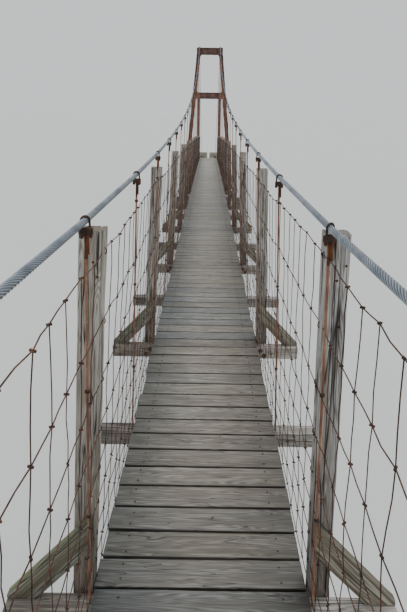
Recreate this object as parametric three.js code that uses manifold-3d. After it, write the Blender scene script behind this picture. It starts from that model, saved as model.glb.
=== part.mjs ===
// Suspension footbridge: plank deck, timber side frames with wire fence, two steel towers.
// Every size below is the real bridge's, in millimetres. The model is half of that, one to two.
// +X is the right-hand side, +Y runs along the bridge and +Z is up.
// The origin is at ground level, below the middle of the span.

import * as THREE from 'three';
import { mergeVertices } from 'three/addons/utils/BufferGeometryUtils.js';
import Module from 'manifold-3d';

const wasm = await Module();
wasm.setup();

// Model scale, and the clearance left between pieces that bear on each other
const MODEL_SCALE = 0.5;
const GAP = 0.6;

// Span: hangers every four feet, and the towers a whole number of bays from mid-span
const BAY = 1219.2;
const BAYS_TO_TOWER = 21;
const TOWER_Y = BAYS_TO_TOWER * BAY;
const DECK_CAMBER = 343;
const DECK_END_HEIGHT = 1200;
const CROWN_Z = DECK_END_HEIGHT + DECK_CAMBER;

// Deck: planks on stringers and cross beams
const DECK_WIDTH = 780;
const PLANK_THICKNESS = 32;
const BEAM_SIDE = 89;
const BEAM_LENGTH = 1400;
const STRINGER_X = 300;
const STRINGER_WIDTH = 38;
const STRINGER_DEPTH = 84;
const STRINGER_DROP = 2;
const SECTION_ENDS = [-BAYS_TO_TOWER, -13, -5, 5, 13, BAYS_TO_TOWER];

// Side frames: posts lean inward on every second beam, with a brace from the beam's end. They
// get lower and straighter from the crown of the deck to its ends.
const POST_SIDE = 76;
const POST_FOOT_X = 430;
const POST_TOP_X = { left: 353, right: 376 };
const CROWN_POST_TOP_X = { left: 338, right: 380 };
const END_POST_TOP_X = { left: 412, right: 424 };
const POST_HEIGHT = 1310;
const END_POST_HEIGHT = 964;
const BRACE_THICKNESS = 36;
const BRACE_WIDTH = 89;
const BRACE_FOOT_X = 655;
const BRACE_HEAD_X = 392;
const BRACE_HEAD_Z = 247;
const BRACE_LET_IN = 2;

// Line wires of the fence, at these shares of a post's height
const LINE_WIRE_SIDE = 3;
const LINE_WIRE_INSET = 2;
const LINE_WIRE_SHARES = [0.163, 0.366, 0.618, 0.948];

// Hanger rods, tied to the lowest line wire
const ROD_SIDE = 14;
const ROD_FOOT_X = 400;

// Main cables
const CABLE_RADIUS = 12.5;
const CABLE_SIDES = 8;
const CABLE_FLAT = CABLE_RADIUS * Math.cos(Math.PI / CABLE_SIDES);
const CABLE_LOW = 1346;
const CABLE_HIGH = 4350;
const CABLE_X_LOW = 344;
const CABLE_X_HIGH = 450;
const SADDLE_RADIUS = 400;
const SADDLE_WIDTH = 70;
const SADDLE_STEPS = 4;
const BACKSTAY_RUN = 10 * BAY;

// Towers: battered outer legs, upright portal posts, a top beam and a middle beam
const LEG_SIDE = 165;
const LEG_BATTER = 0.102;
const LEG_TOP_OUTER_X = 568;
const PORTAL_POST_SIDE = 125;
const PORTAL_CLEAR_X = 405;
const FLANGE_THICKNESS = 10;
const TOP_BEAM_DEPTH = 280;
const TOP_BEAM_WIDTH = 150;
const TOP_BEAM_Z = CROWN_Z + 4025;
const MIDDLE_BEAM_DEPTH = 265;
const MIDDLE_BEAM_WIDTH = 130;
const MIDDLE_BEAM_Z = CROWN_Z + 2218;
const GUSSET_THICKNESS = 12;
const GUSSET_CURVE_STEPS = 6;
const HAUNCH_REACH = 120;
const HAUNCH_DROP = 230;
const CORNER_REACH = 120;
const CORNER_RISE = 140;
const SEAT_DEPTH = 150;
const SEAT_WIDTH = 65;
const SEAT_HALF_LENGTH = 620;
const BASE_PLATE_SIDE = 220;
const BASE_PLATE_THICKNESS = 16;
const FOOTING = { inner: 320, outer: 1260, length: 620, height: 260 };

// Anchor blocks, with the front top corner cut square to the backstay
const ANCHOR = { width: 760, length: 1150, height: 620, cableZ: 400, cutFootZ: 280 };

// Corners of one geometry that lie nearer than this are one corner
const WELD = 1e-3;

const materials = {
  plank: new THREE.MeshStandardMaterial({ color: 0x77756f, roughness: 0.9, metalness: 0 }),
  timber: new THREE.MeshStandardMaterial({ color: 0x8b8780, roughness: 0.9, metalness: 0 }),
  cable: new THREE.MeshStandardMaterial({ color: 0x7d8890, roughness: 0.5, metalness: 0.8 }),
  steel: new THREE.MeshStandardMaterial({ color: 0x6b4536, roughness: 0.85, metalness: 0.3 }),
  concrete: new THREE.MeshStandardMaterial({ color: 0x9a968c, roughness: 0.95, metalness: 0 }),
};

const stationY = (station) => station * BAY;
const towardEnd = (y) => Math.abs(y) / TOWER_Y;
const square = (y) => (y / TOWER_Y) ** 2;
const deckTop = (y) => CROWN_Z - DECK_CAMBER * square(y);
const plankUnderside = (y) => deckTop(y) - PLANK_THICKNESS;
const stringerTop = (y) => plankUnderside(y) - GAP - STRINGER_DROP;
const beamTop = (y) => plankUnderside(Math.abs(y) + BEAM_SIDE / 2) - GAP;
const cableX = (y) => CABLE_X_LOW + (CABLE_X_HIGH - CABLE_X_LOW) * square(y);
const cableZ = (y) => CROWN_Z + CABLE_LOW + (CABLE_HIGH - CABLE_LOW) * square(y);
const cableSlope = (y) => Math.atan2(2 * (CABLE_HIGH - CABLE_LOW) * y, TOWER_Y ** 2);
const legOuterX = (z) => LEG_TOP_OUTER_X + LEG_BATTER * (TOP_BEAM_Z - z);
const signOf = (side) => (side === 'left' ? -1 : 1);

// Whole numbers from first to last
function range(first, last) {
  return Array.from({ length: last - first + 1 }, (_, i) => first + i);
}

// A closed geometry as a solid that can be joined and cut
function solid(geometry) {
  geometry.deleteAttribute('normal');
  geometry.deleteAttribute('uv');
  const merged = mergeVertices(geometry, WELD);
  return new wasm.Manifold(new wasm.Mesh({
    numProp: 3,
    vertProperties: new Float32Array(merged.attributes.position.array),
    triVerts: new Uint32Array(merged.index.array),
  }));
}

function union(solids) {
  return solids.reduce((sum, next) => sum.add(next));
}

// A solid back as a named mesh
function piece(name, body, material) {
  const { vertProperties, triVerts } = body.getMesh();
  const geometry = new THREE.BufferGeometry();
  geometry.setAttribute('position', new THREE.BufferAttribute(new Float32Array(vertProperties), 3));
  geometry.setIndex(new THREE.BufferAttribute(new Uint32Array(triVerts), 1));
  geometry.computeVertexNormals();
  const mesh = new THREE.Mesh(geometry, material);
  mesh.name = name;
  return mesh;
}

function box([x0, x1], [y0, y1], [z0, z1]) {
  const geometry = new THREE.BoxGeometry(x1 - x0, y1 - y0, z1 - z0);
  geometry.translate((x0 + x1) / 2, (y0 + y1) / 2, (z0 + z1) / 2);
  return solid(geometry);
}

function outline(points) {
  return new THREE.Shape(points.map(([a, b]) => new THREE.Vector2(a, b)));
}

// A plate drawn in the plane across the bridge, as [x, z], from y0 to y1
function acrossPlate(shape, [y0, y1]) {
  const geometry = new THREE.ExtrudeGeometry(shape, {
    depth: y1 - y0,
    bevelEnabled: false,
    curveSegments: GUSSET_CURVE_STEPS,
  });
  geometry.rotateX(Math.PI / 2);
  geometry.translate(0, y1, 0);
  return solid(geometry);
}

// A bar drawn in the plane along the bridge, as [y, z], from x0 to x1
function alongBar(shape, [x0, x1]) {
  const geometry = new THREE.ExtrudeGeometry(shape, { depth: x1 - x0, bevelEnabled: false });
  geometry.rotateX(Math.PI / 2);
  geometry.rotateZ(Math.PI / 2);
  geometry.translate(x0, 0, 0);
  return solid(geometry);
}

// An upright bar that leans sideways, its ends cut level, between two heights
function leaningBar([xLow, xHigh], [zLow, zHigh], width, [y0, y1]) {
  const half = width / 2;
  return acrossPlate(outline([
    [xLow - half, zLow], [xLow + half, zLow], [xHigh + half, zHigh], [xHigh - half, zHigh],
  ]), [y0, y1]);
}

// Rolled section with two flanges and a web, as seen end on
function flangedOutline(depth, width) {
  const web = FLANGE_THICKNESS / 2;
  const inner = depth / 2 - FLANGE_THICKNESS;
  const half = width / 2;
  return outline([
    [-depth / 2, -half], [-inner, -half], [-inner, -web], [inner, -web],
    [inner, -half], [depth / 2, -half], [depth / 2, half], [inner, half],
    [inner, web], [-inner, web], [-inner, half], [-depth / 2, half],
  ]);
}

// A curve whose even steps fall on the given points, whatever the distance between them
class StationCurve extends THREE.Curve {
  constructor(points) {
    super();
    this.points = points;
  }

  getPoint(t, target = new THREE.Vector3()) {
    const place = t * (this.points.length - 1);
    const i = Math.min(Math.floor(place), this.points.length - 2);
    return target.lerpVectors(this.points[i], this.points[i + 1], place - i);
  }

  getPointAt(u, target) {
    return this.getPoint(u, target);
  }

  getTangentAt(u, target = new THREE.Vector3()) {
    const last = this.points.length - 1;
    const i = Math.round(u * last);
    return target.subVectors(this.points[Math.min(i + 1, last)], this.points[Math.max(i - 1, 0)]).normalize();
  }
}

// Deck

function deckPlanks(first, last) {
  const ys = range(first, last).map(stationY);
  ys[0] += first === -BAYS_TO_TOWER ? -PORTAL_POST_SIDE / 2 : GAP / 2;
  ys[ys.length - 1] += last === BAYS_TO_TOWER ? PORTAL_POST_SIDE / 2 : -GAP / 2;
  const top = ys.map((y) => [y, deckTop(y)]);
  const bottom = ys.map((y) => [y, plankUnderside(y)]).reverse();
  return alongBar(outline([...top, ...bottom]), [-DECK_WIDTH / 2, DECK_WIDTH / 2]);
}

function crossBeam(station) {
  const y = stationY(station);
  const top = beamTop(y);
  return box(
    [-BEAM_LENGTH / 2, BEAM_LENGTH / 2],
    [y - BEAM_SIDE / 2, y + BEAM_SIDE / 2],
    [top - BEAM_SIDE, top],
  );
}

// The two stringers of one deck length, which end against the next length's first beam
function stringers(first, last) {
  const ys = range(first, last).map(stationY);
  const beamFace = BEAM_SIDE / 2 + GAP;
  if (first === -BAYS_TO_TOWER) ys[0] -= PORTAL_POST_SIDE / 2;
  else if (first > 0) ys[0] += beamFace;
  if (last === BAYS_TO_TOWER) ys[ys.length - 1] += PORTAL_POST_SIDE / 2;
  else if (last < 0) ys[ys.length - 1] -= beamFace;
  const shape = outline([
    ...ys.map((y) => [y, stringerTop(y)]),
    ...ys.map((y) => [y, stringerTop(y) - STRINGER_DEPTH]).reverse(),
  ]);
  return [-STRINGER_X, STRINGER_X].map((x) => (
    alongBar(shape, [x - STRINGER_WIDTH / 2, x + STRINGER_WIDTH / 2])
  ));
}

// A deck length owns the beams at its ends only where they lie nearer mid-span than it does
function ownedStations(first, last) {
  const from = first === -BAYS_TO_TOWER || first > 0 ? first + 1 : first;
  const to = last === BAYS_TO_TOWER || last < 0 ? last - 1 : last;
  return range(from, to);
}

function deckFrame(first, last) {
  return union([...ownedStations(first, last).map(crossBeam), ...stringers(first, last)]);
}

// Side frames

function postTopX(side, station) {
  if (station === 0) return CROWN_POST_TOP_X[side];
  const straightening = END_POST_TOP_X[side] - POST_TOP_X[side];
  return POST_TOP_X[side] + straightening * towardEnd(stationY(station));
}

function postHeight(y) {
  return POST_HEIGHT + (END_POST_HEIGHT - POST_HEIGHT) * towardEnd(y);
}

// Sideways place of a post's centre line at a height above the deck
function postX(side, station, height) {
  const lean = (postTopX(side, station) - POST_FOOT_X) / postHeight(stationY(station));
  return POST_FOOT_X + lean * height;
}

function sidePost(side, station) {
  const y = stationY(station);
  const height = postHeight(y);
  const foot = beamTop(y) - BEAM_SIDE - deckTop(y);
  const face = y + BEAM_SIDE / 2 + GAP;
  return leaningBar(
    [signOf(side) * postX(side, station, foot), signOf(side) * postX(side, station, height)],
    [deckTop(y) + foot, deckTop(y) + height],
    POST_SIDE,
    [face, face + POST_SIDE],
  );
}

// The brace stands on the beam's end and is nailed to the post's near face. Its foot is cut
// level, its toe flush with the beam's end, and its head plumb.
function sideBrace(side, station) {
  const y = stationY(station);
  const foot = beamTop(y) + GAP;
  const head = deckTop(y) + BRACE_HEAD_Z;
  const slope = Math.atan2(head - foot, BRACE_FOOT_X - BRACE_HEAD_X);
  const halfFoot = BRACE_WIDTH / 2 / Math.sin(slope);
  const halfHead = BRACE_WIDTH / 2 / Math.cos(slope);
  const toeX = BEAM_LENGTH / 2;
  const toeHeight = (BRACE_FOOT_X + halfFoot - toeX) * Math.tan(slope);
  const face = y + BEAM_SIDE / 2 + GAP;
  const shape = outline([
    [BRACE_FOOT_X - halfFoot, foot], [toeX, foot], [toeX, foot + toeHeight],
    [BRACE_HEAD_X, head + halfHead], [BRACE_HEAD_X, head - halfHead],
  ].map(([x, z]) => [signOf(side) * x, z]));
  return acrossPlate(shape, [face - BRACE_THICKNESS, face + BRACE_LET_IN]);
}

// Sideways place of a line wire where it is let into a post's inner face
function lineWireX(side, station, share) {
  const height = share * postHeight(stationY(station));
  return postX(side, station, height) - POST_SIDE / 2 + LINE_WIRE_INSET;
}

function lineWireZ(y, share) {
  return deckTop(y) + share * postHeight(y);
}

// One wire from post to post
function lineWire(side, stations, share, [yStart, yEnd]) {
  const sign = signOf(side);
  const postY = (station) => stationY(station) + (BEAM_SIDE + POST_SIDE) / 2 + GAP;
  const place = (station, y) => (
    new THREE.Vector3(sign * lineWireX(side, station, share), y, lineWireZ(y, share))
  );
  const points = [
    place(stations[0], yStart),
    ...stations.map((station) => place(station, postY(station))),
    place(stations[stations.length - 1], yEnd),
  ];
  const half = LINE_WIRE_SIDE / 2;
  const section = outline([[-half, -half], [half, -half], [half, half], [-half, half]]);
  const path = new StationCurve(points);
  return solid(new THREE.ExtrudeGeometry(section, { steps: points.length - 1, extrudePath: path }));
}

// A rod hangs from the cable and stands on its cross beam
function hangerRod(side, station) {
  const y = stationY(station);
  const sign = signOf(side);
  const top = cableZ(Math.abs(y) - ROD_SIDE / 2) - CABLE_FLAT / Math.cos(cableSlope(y)) - GAP;
  return leaningBar(
    [sign * ROD_FOOT_X, sign * cableX(y)],
    [beamTop(y) + GAP, top],
    ROD_SIDE,
    [y - ROD_SIDE / 2, y + ROD_SIDE / 2],
  );
}

// The turn of wire that ties a rod to the lowest line wire
function rodTie(side, station) {
  const y = stationY(station);
  const half = LINE_WIRE_SIDE / 2;
  const z = lineWireZ(y, LINE_WIRE_SHARES[0]);
  const wireX = lineWireX(side, station, LINE_WIRE_SHARES[0]);
  const xs = [signOf(side) * (wireX - half), signOf(side) * ROD_FOOT_X].sort((a, b) => a - b);
  return box(xs, [y - half, y + half], [z - half, z + half]);
}

// Where one length's wires stop and the next one's start: on the outer face of the rod there
function wireJoint(station) {
  return stationY(station) + Math.sign(station) * ((ROD_SIDE + GAP) / 2);
}

function sideFence(side, first, last) {
  const postStations = range(first, last).filter((station) => station % 2 === 0);
  const rodStations = ownedStations(first, last);
  const towerFace = TOWER_Y - PORTAL_POST_SIDE / 2 - GAP;
  const yStart = first === -BAYS_TO_TOWER ? -towerFace : wireJoint(first) + GAP / 2;
  const yEnd = last === BAYS_TO_TOWER ? towerFace : wireJoint(last) - GAP / 2;
  return union([
    ...postStations.map((station) => sidePost(side, station)),
    ...postStations.map((station) => sideBrace(side, station)),
    ...LINE_WIRE_SHARES.map((share) => lineWire(side, postStations, share, [yStart, yEnd])),
    ...rodStations.map((station) => hangerRod(side, station)),
    ...rodStations.map((station) => rodTie(side, station)),
  ]);
}

// Main cables

const backstayDrop = CROWN_Z + CABLE_HIGH - ANCHOR.cableZ;
const backstaySlope = Math.atan2(backstayDrop, BACKSTAY_RUN);
const spanSlope = cableSlope(TOWER_Y);

// Points over one tower's saddle, from the span side to the land side
function saddlePoints(radius) {
  const centreZ = cableZ(TOWER_Y) - SADDLE_RADIUS;
  return range(0, SADDLE_STEPS).map((i) => {
    const angle = -spanSlope + (i / SADDLE_STEPS) * (spanSlope + backstaySlope);
    return [TOWER_Y + radius * Math.sin(angle), centreZ + radius * Math.cos(angle)];
  });
}

function cablePath(side) {
  const sign = signOf(side);
  const span = range(-BAYS_TO_TOWER + 1, BAYS_TO_TOWER - 1).map(stationY)
    .map((y) => new THREE.Vector3(sign * cableX(y), y, cableZ(y)));
  const overSaddle = saddlePoints(SADDLE_RADIUS)
    .map(([y, z]) => new THREE.Vector3(sign * CABLE_X_HIGH, y, z));
  const end = new THREE.Vector3(sign * CABLE_X_HIGH, TOWER_Y + BACKSTAY_RUN, ANCHOR.cableZ);
  const farEnd = [...overSaddle, end];
  const nearEnd = farEnd.map((point) => new THREE.Vector3(point.x, -point.y, point.z)).reverse();
  return new StationCurve([...nearEnd, ...span, ...farEnd]);
}

function mainCable(side) {
  const path = cablePath(side);
  const section = outline(range(0, CABLE_SIDES - 1).map((i) => {
    const angle = (2 * Math.PI * (i + 0.5)) / CABLE_SIDES;
    return [CABLE_RADIUS * Math.cos(angle), CABLE_RADIUS * Math.sin(angle)];
  }));
  const steps = path.points.length - 1;
  return solid(new THREE.ExtrudeGeometry(section, { steps, extrudePath: path }));
}

// Towers, drawn at y = 0 and then moved to their place

function towerLeg(side) {
  const sign = signOf(side);
  const foot = FOOTING.height + GAP;
  const head = TOP_BEAM_Z - GAP;
  const geometry = new THREE.ExtrudeGeometry(flangedOutline(LEG_SIDE, LEG_SIDE), {
    depth: head - foot,
    bevelEnabled: false,
  });
  geometry.applyMatrix4(new THREE.Matrix4().makeShear(0, 0, 0, 0, -sign * LEG_BATTER, 0));
  const footX = sign * (legOuterX(foot) - LEG_SIDE / 2);
  geometry.translate(footX, 0, foot);
  return solid(geometry).add(basePlate(footX));
}

function basePlate(x) {
  const half = BASE_PLATE_SIDE / 2;
  const foot = FOOTING.height + GAP;
  return box([x - half, x + half], [-half, half], [foot, foot + BASE_PLATE_THICKNESS]);
}

function portalPost(side) {
  const foot = FOOTING.height + GAP;
  const head = MIDDLE_BEAM_Z - GAP;
  const x = signOf(side) * (PORTAL_CLEAR_X + PORTAL_POST_SIDE / 2);
  const geometry = new THREE.ExtrudeGeometry(flangedOutline(PORTAL_POST_SIDE, PORTAL_POST_SIDE), {
    depth: head - foot,
    bevelEnabled: false,
  });
  geometry.translate(x, 0, foot);
  return solid(geometry).add(basePlate(x));
}

// A level beam across the tower, its flanges above and below
function levelBeam(halfLength, depth, width, bottom) {
  const middle = bottom + depth / 2;
  const turned = flangedOutline(depth, width).getPoints().map(({ x, y }) => [y, x + middle]);
  return alongBar(outline(turned), [-halfLength, halfLength]);
}

// The space between the two legs' inner faces, in which a beam or gusset has to stay
function betweenLegs(zLow, zHigh) {
  const inner = (z) => legOuterX(z) - LEG_SIDE - GAP;
  return acrossPlate(outline([
    [-inner(zLow), zLow], [inner(zLow), zLow], [inner(zHigh), zHigh], [-inner(zHigh), zHigh],
  ]), [-LEG_SIDE, LEG_SIDE]);
}

// A plate in each upper corner of a frame, with a hollow curved edge
function cornerGussets(z, rise, reach) {
  const inner = legOuterX(z + Math.min(rise, 0)) - LEG_SIDE;
  return [-1, 1].map((sign) => {
    const shape = new THREE.Shape();
    shape.moveTo(sign * (inner + reach), z);
    shape.lineTo(sign * (inner - reach), z);
    shape.quadraticCurveTo(sign * inner, z, sign * inner, z + rise);
    shape.lineTo(sign * (inner + reach), z + rise);
    return acrossPlate(shape, [-GUSSET_THICKNESS / 2, GUSSET_THICKNESS / 2]);
  });
}

// The block under the cable on top of the tower
function saddle(side) {
  const x = signOf(side) * CABLE_X_HIGH;
  const seat = saddlePoints(SADDLE_RADIUS - CABLE_FLAT - GAP).map(([y, z]) => [y - TOWER_Y, z]);
  const bottom = TOP_BEAM_Z + TOP_BEAM_DEPTH - FLANGE_THICKNESS / 2;
  const shape = outline([[seat[0][0], bottom], ...seat, [seat[seat.length - 1][0], bottom]]);
  return alongBar(shape, [x - SADDLE_WIDTH / 2, x + SADDLE_WIDTH / 2]);
}

function topBeam() {
  const beam = levelBeam(LEG_TOP_OUTER_X, TOP_BEAM_DEPTH, TOP_BEAM_WIDTH, TOP_BEAM_Z);
  const haunches = cornerGussets(TOP_BEAM_Z + FLANGE_THICKNESS / 2, -HAUNCH_DROP, HAUNCH_REACH)
    .map((gusset) => gusset.intersect(betweenLegs(TOP_BEAM_Z - HAUNCH_DROP, TOP_BEAM_Z + FLANGE_THICKNESS)));
  return union([beam, ...haunches, saddle('left'), saddle('right')]);
}

function middleBeam() {
  const top = MIDDLE_BEAM_Z + MIDDLE_BEAM_DEPTH;
  const reach = legOuterX(MIDDLE_BEAM_Z);
  const beam = levelBeam(reach, MIDDLE_BEAM_DEPTH, MIDDLE_BEAM_WIDTH, MIDDLE_BEAM_Z);
  const corners = cornerGussets(top - FLANGE_THICKNESS / 2, CORNER_RISE, CORNER_REACH);
  return union([beam, ...corners]).intersect(betweenLegs(MIDDLE_BEAM_Z, top + CORNER_RISE));
}

// Channel bolted across the portal posts' span side, under the deck's end
function deckSeat(towardSpan) {
  const web = PORTAL_POST_SIDE / 2 + GAP;
  const stringerBottom = stringerTop(TOWER_Y - web) - STRINGER_DEPTH;
  const top = stringerBottom - GAP;
  const bottom = top - SEAT_DEPTH;
  const edge = web + SEAT_WIDTH;
  const shape = outline([
    [web, top], [edge, top],
    [edge, top - FLANGE_THICKNESS], [web + FLANGE_THICKNESS, top - FLANGE_THICKNESS],
    [web + FLANGE_THICKNESS, bottom + FLANGE_THICKNESS], [edge, bottom + FLANGE_THICKNESS],
    [edge, bottom], [web, bottom],
  ].map(([y, z]) => [towardSpan * y, z]));
  return alongBar(shape, [-SEAT_HALF_LENGTH, SEAT_HALF_LENGTH]);
}

function footing(side) {
  const xs = [signOf(side) * FOOTING.inner, signOf(side) * FOOTING.outer].sort((a, b) => a - b);
  return box(xs, [-FOOTING.length / 2, FOOTING.length / 2], [0, FOOTING.height]);
}

// Anchor block behind a tower, toward +Y; the near ones are turned round
function anchorBlock(side) {
  const x = signOf(side) * CABLE_X_HIGH;
  const cableEnd = TOWER_Y + BACKSTAY_RUN;
  const faceAt = (z) => cableEnd + (z - ANCHOR.cableZ) * Math.tan(backstaySlope) + GAP;
  const front = faceAt(ANCHOR.cutFootZ);
  const back = front + ANCHOR.length;
  const shape = outline([
    [front, 0], [back, 0], [back, ANCHOR.height], [faceAt(ANCHOR.height), ANCHOR.height],
    [front, ANCHOR.cutFootZ],
  ]);
  return alongBar(shape, [x - ANCHOR.width / 2, x + ANCHOR.width / 2]);
}

function towerGroup(end, y) {
  const towardSpan = -Math.sign(y);
  const group = new THREE.Group();
  const sides = ['left', 'right'];
  group.add(
    ...sides.map((side) => piece(`${end}_tower_footing_${side}`, footing(side), materials.concrete)),
    ...sides.map((side) => piece(`${end}_tower_leg_${side}`, towerLeg(side), materials.steel)),
    ...sides.map((side) => piece(`${end}_tower_portal_post_${side}`, portalPost(side), materials.steel)),
    piece(`${end}_tower_middle_beam`, middleBeam(), materials.steel),
    piece(`${end}_tower_top_beam`, y > 0 ? topBeam() : topBeam().mirror([0, 1, 0]), materials.steel),
    piece(`${end}_tower_deck_seat`, deckSeat(towardSpan), materials.steel),
  );
  group.position.y = y;
  return group;
}

const bridge = new THREE.Group();

SECTION_ENDS.slice(1).forEach((last, i) => {
  const first = SECTION_ENDS[i];
  bridge.add(piece(`deck_planks_${i + 1}`, deckPlanks(first, last), materials.plank));
  bridge.add(piece(`deck_frame_${i + 1}`, deckFrame(first, last), materials.timber));
  bridge.add(piece(`side_fence_left_${i + 1}`, sideFence('left', first, last), materials.timber));
  bridge.add(piece(`side_fence_right_${i + 1}`, sideFence('right', first, last), materials.timber));
});

for (const side of ['left', 'right']) {
  bridge.add(piece(`main_cable_${side}`, mainCable(side), materials.cable));
  bridge.add(piece(`far_anchor_${side}`, anchorBlock(side), materials.concrete));
  bridge.add(piece(`near_anchor_${side}`, anchorBlock(side).mirror([0, 1, 0]), materials.concrete));
}

bridge.add(towerGroup('near', -TOWER_Y));
bridge.add(towerGroup('far', TOWER_Y));
bridge.scale.setScalar(MODEL_SCALE);

export default bridge;
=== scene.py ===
"""Looks of a plank suspension footbridge, a model at half the real size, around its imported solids.

Sizes are the real bridge's, in millimetres, and real() turns them into the model's metres.
+X is the right-hand side, +Y runs along the bridge, +Z is up, and ground level is z = 0.
"""

import logging
import math
from collections.abc import Iterable
from dataclasses import dataclass, field
from enum import Enum

import bmesh
import bpy
import numpy as np
from bpy.types import Material, Mesh, Node, NodeOutputs, NodeSocket, NodeTree, Object
from mathutils import Euler, Matrix, Vector


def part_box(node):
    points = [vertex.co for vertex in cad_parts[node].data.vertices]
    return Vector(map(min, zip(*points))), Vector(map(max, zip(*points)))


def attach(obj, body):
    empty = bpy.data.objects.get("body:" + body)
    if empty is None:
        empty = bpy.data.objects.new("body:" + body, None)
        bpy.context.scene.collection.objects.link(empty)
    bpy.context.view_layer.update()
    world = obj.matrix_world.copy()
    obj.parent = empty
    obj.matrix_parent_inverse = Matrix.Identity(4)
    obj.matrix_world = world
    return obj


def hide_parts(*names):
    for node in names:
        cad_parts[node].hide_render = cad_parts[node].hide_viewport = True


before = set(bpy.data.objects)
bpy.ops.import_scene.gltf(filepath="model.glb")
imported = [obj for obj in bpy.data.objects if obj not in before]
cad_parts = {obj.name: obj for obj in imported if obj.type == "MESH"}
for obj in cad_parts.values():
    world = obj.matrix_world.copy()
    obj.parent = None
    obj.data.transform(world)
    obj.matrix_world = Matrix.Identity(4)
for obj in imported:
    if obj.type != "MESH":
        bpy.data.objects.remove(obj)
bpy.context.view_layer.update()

MODEL_SCALE = 0.5
BODY = "root"
LOG = logging.getLogger("footbridge")

# Drying cracks of sawn timber: mm from one to the next, mm before one wanders, and half its
# width as a share of the noise that it follows
CHECK_WIDTH = 24.0
CHECK_LENGTH = 900.0
CHECK_REACH = 0.03

# From the seed of one kind of bar in a piece to the seed of the other
SEED_STEP = 50

Point = tuple[float, float, float]
# Points and faces of a mesh
Body = tuple[list[Point], list[tuple[int, ...]]]
# Places and sRGB hex colours of a colour ramp
Ramp = tuple[tuple[float, str], ...]
# What a node's input is linked to: a socket, or a node for its first output in use
Source = NodeSocket | Node


def real(size: float) -> float:
    """Model metres for a size of the real bridge in millimetres."""
    return size * MODEL_SCALE / 1000.0


MILLIMETRE = real(1.0)


def linear(code: str) -> tuple[float, float, float, float]:
    """Turns an sRGB hex colour into linear red, green, blue and alpha.

    Args:
        code: Six hex digits, with or without a leading hash.

    Returns:
        Linear values for a colour socket.
    """
    code = code.lstrip("#")
    channels = [int(code[i:i + 2], 16) / 255.0 for i in (0, 2, 4)]
    curve = [c / 12.92 if c <= 0.04045 else ((c + 0.055) / 1.055) ** 2.4 for c in channels]
    return (curve[0], curve[1], curve[2], 1.0)


def in_use(sockets: Iterable[NodeSocket], name: str = "") -> NodeSocket:
    """First socket that a node's settings leave in use, with a name where one is given."""
    return next(socket for socket in sockets if socket.enabled and name in ("", socket.name))


def plug(tree: NodeTree, node: Node, inputs: dict) -> None:
    """Sets or links inputs of a node.

    Args:
        tree: Node tree that the node is in.
        node: The node.
        inputs: Value, output socket or node for each named or numbered input. A node gives the
            first output that is in use.
    """
    for key, value in inputs.items():
        socket = node.inputs[key] if isinstance(key, int) else in_use(node.inputs, key)
        if isinstance(value, Node):
            value = in_use(value.outputs)
        if isinstance(value, NodeSocket):
            tree.links.new(value, socket)
        else:
            socket.default_value = value


def add(tree: NodeTree, kind: str, inputs: dict | None = None, stops: Ramp = (),
        **settings: object) -> Node:
    """Adds one node with its settings and links.

    Args:
        tree: Node tree that the node goes into.
        kind: Blender's type name of the node.
        inputs: Value, output socket or node for each named or numbered input.
        stops: Places and hex colours of a colour ramp.
        **settings: Properties of the node itself.

    Returns:
        The new node.
    """
    node = tree.nodes.new(kind)
    for name, value in settings.items():
        setattr(node, name, value)
    plug(tree, node, inputs or {})
    for i, (place, code) in enumerate(stops):
        elements = node.color_ramp.elements
        element = elements[i] if i < len(elements) else elements.new(place)
        element.position = place
        element.color = linear(code)
    return node


def blank_material(name: str) -> tuple[Material, NodeTree, Node]:
    """Makes a node material, and gives it back with its tree and its surface shader."""
    made = bpy.data.materials.new(name)
    made.use_nodes = True
    return made, made.node_tree, made.node_tree.nodes["Principled BSDF"]


class Side(Enum):
    """The two sides of the bridge, as the sign of X."""

    LEFT = -1
    RIGHT = 1

    @property
    def label(self) -> str:
        """Side as a word for a piece's name."""
        return self.name.lower()


class End(Enum):
    """The two ends of the bridge, as the sign of Y."""

    NEAR = -1
    FAR = 1

    @property
    def label(self) -> str:
        """End as a word for a piece's name."""
        return self.name.lower()


class Slot(Enum):
    """Material slots of the record."""

    PLANK = "deck_plank"
    TIMBER = "frame_timber"
    ROPE = "wire_rope"
    RUST = "rusty_steel"
    CONCRETE = "concrete"


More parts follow.
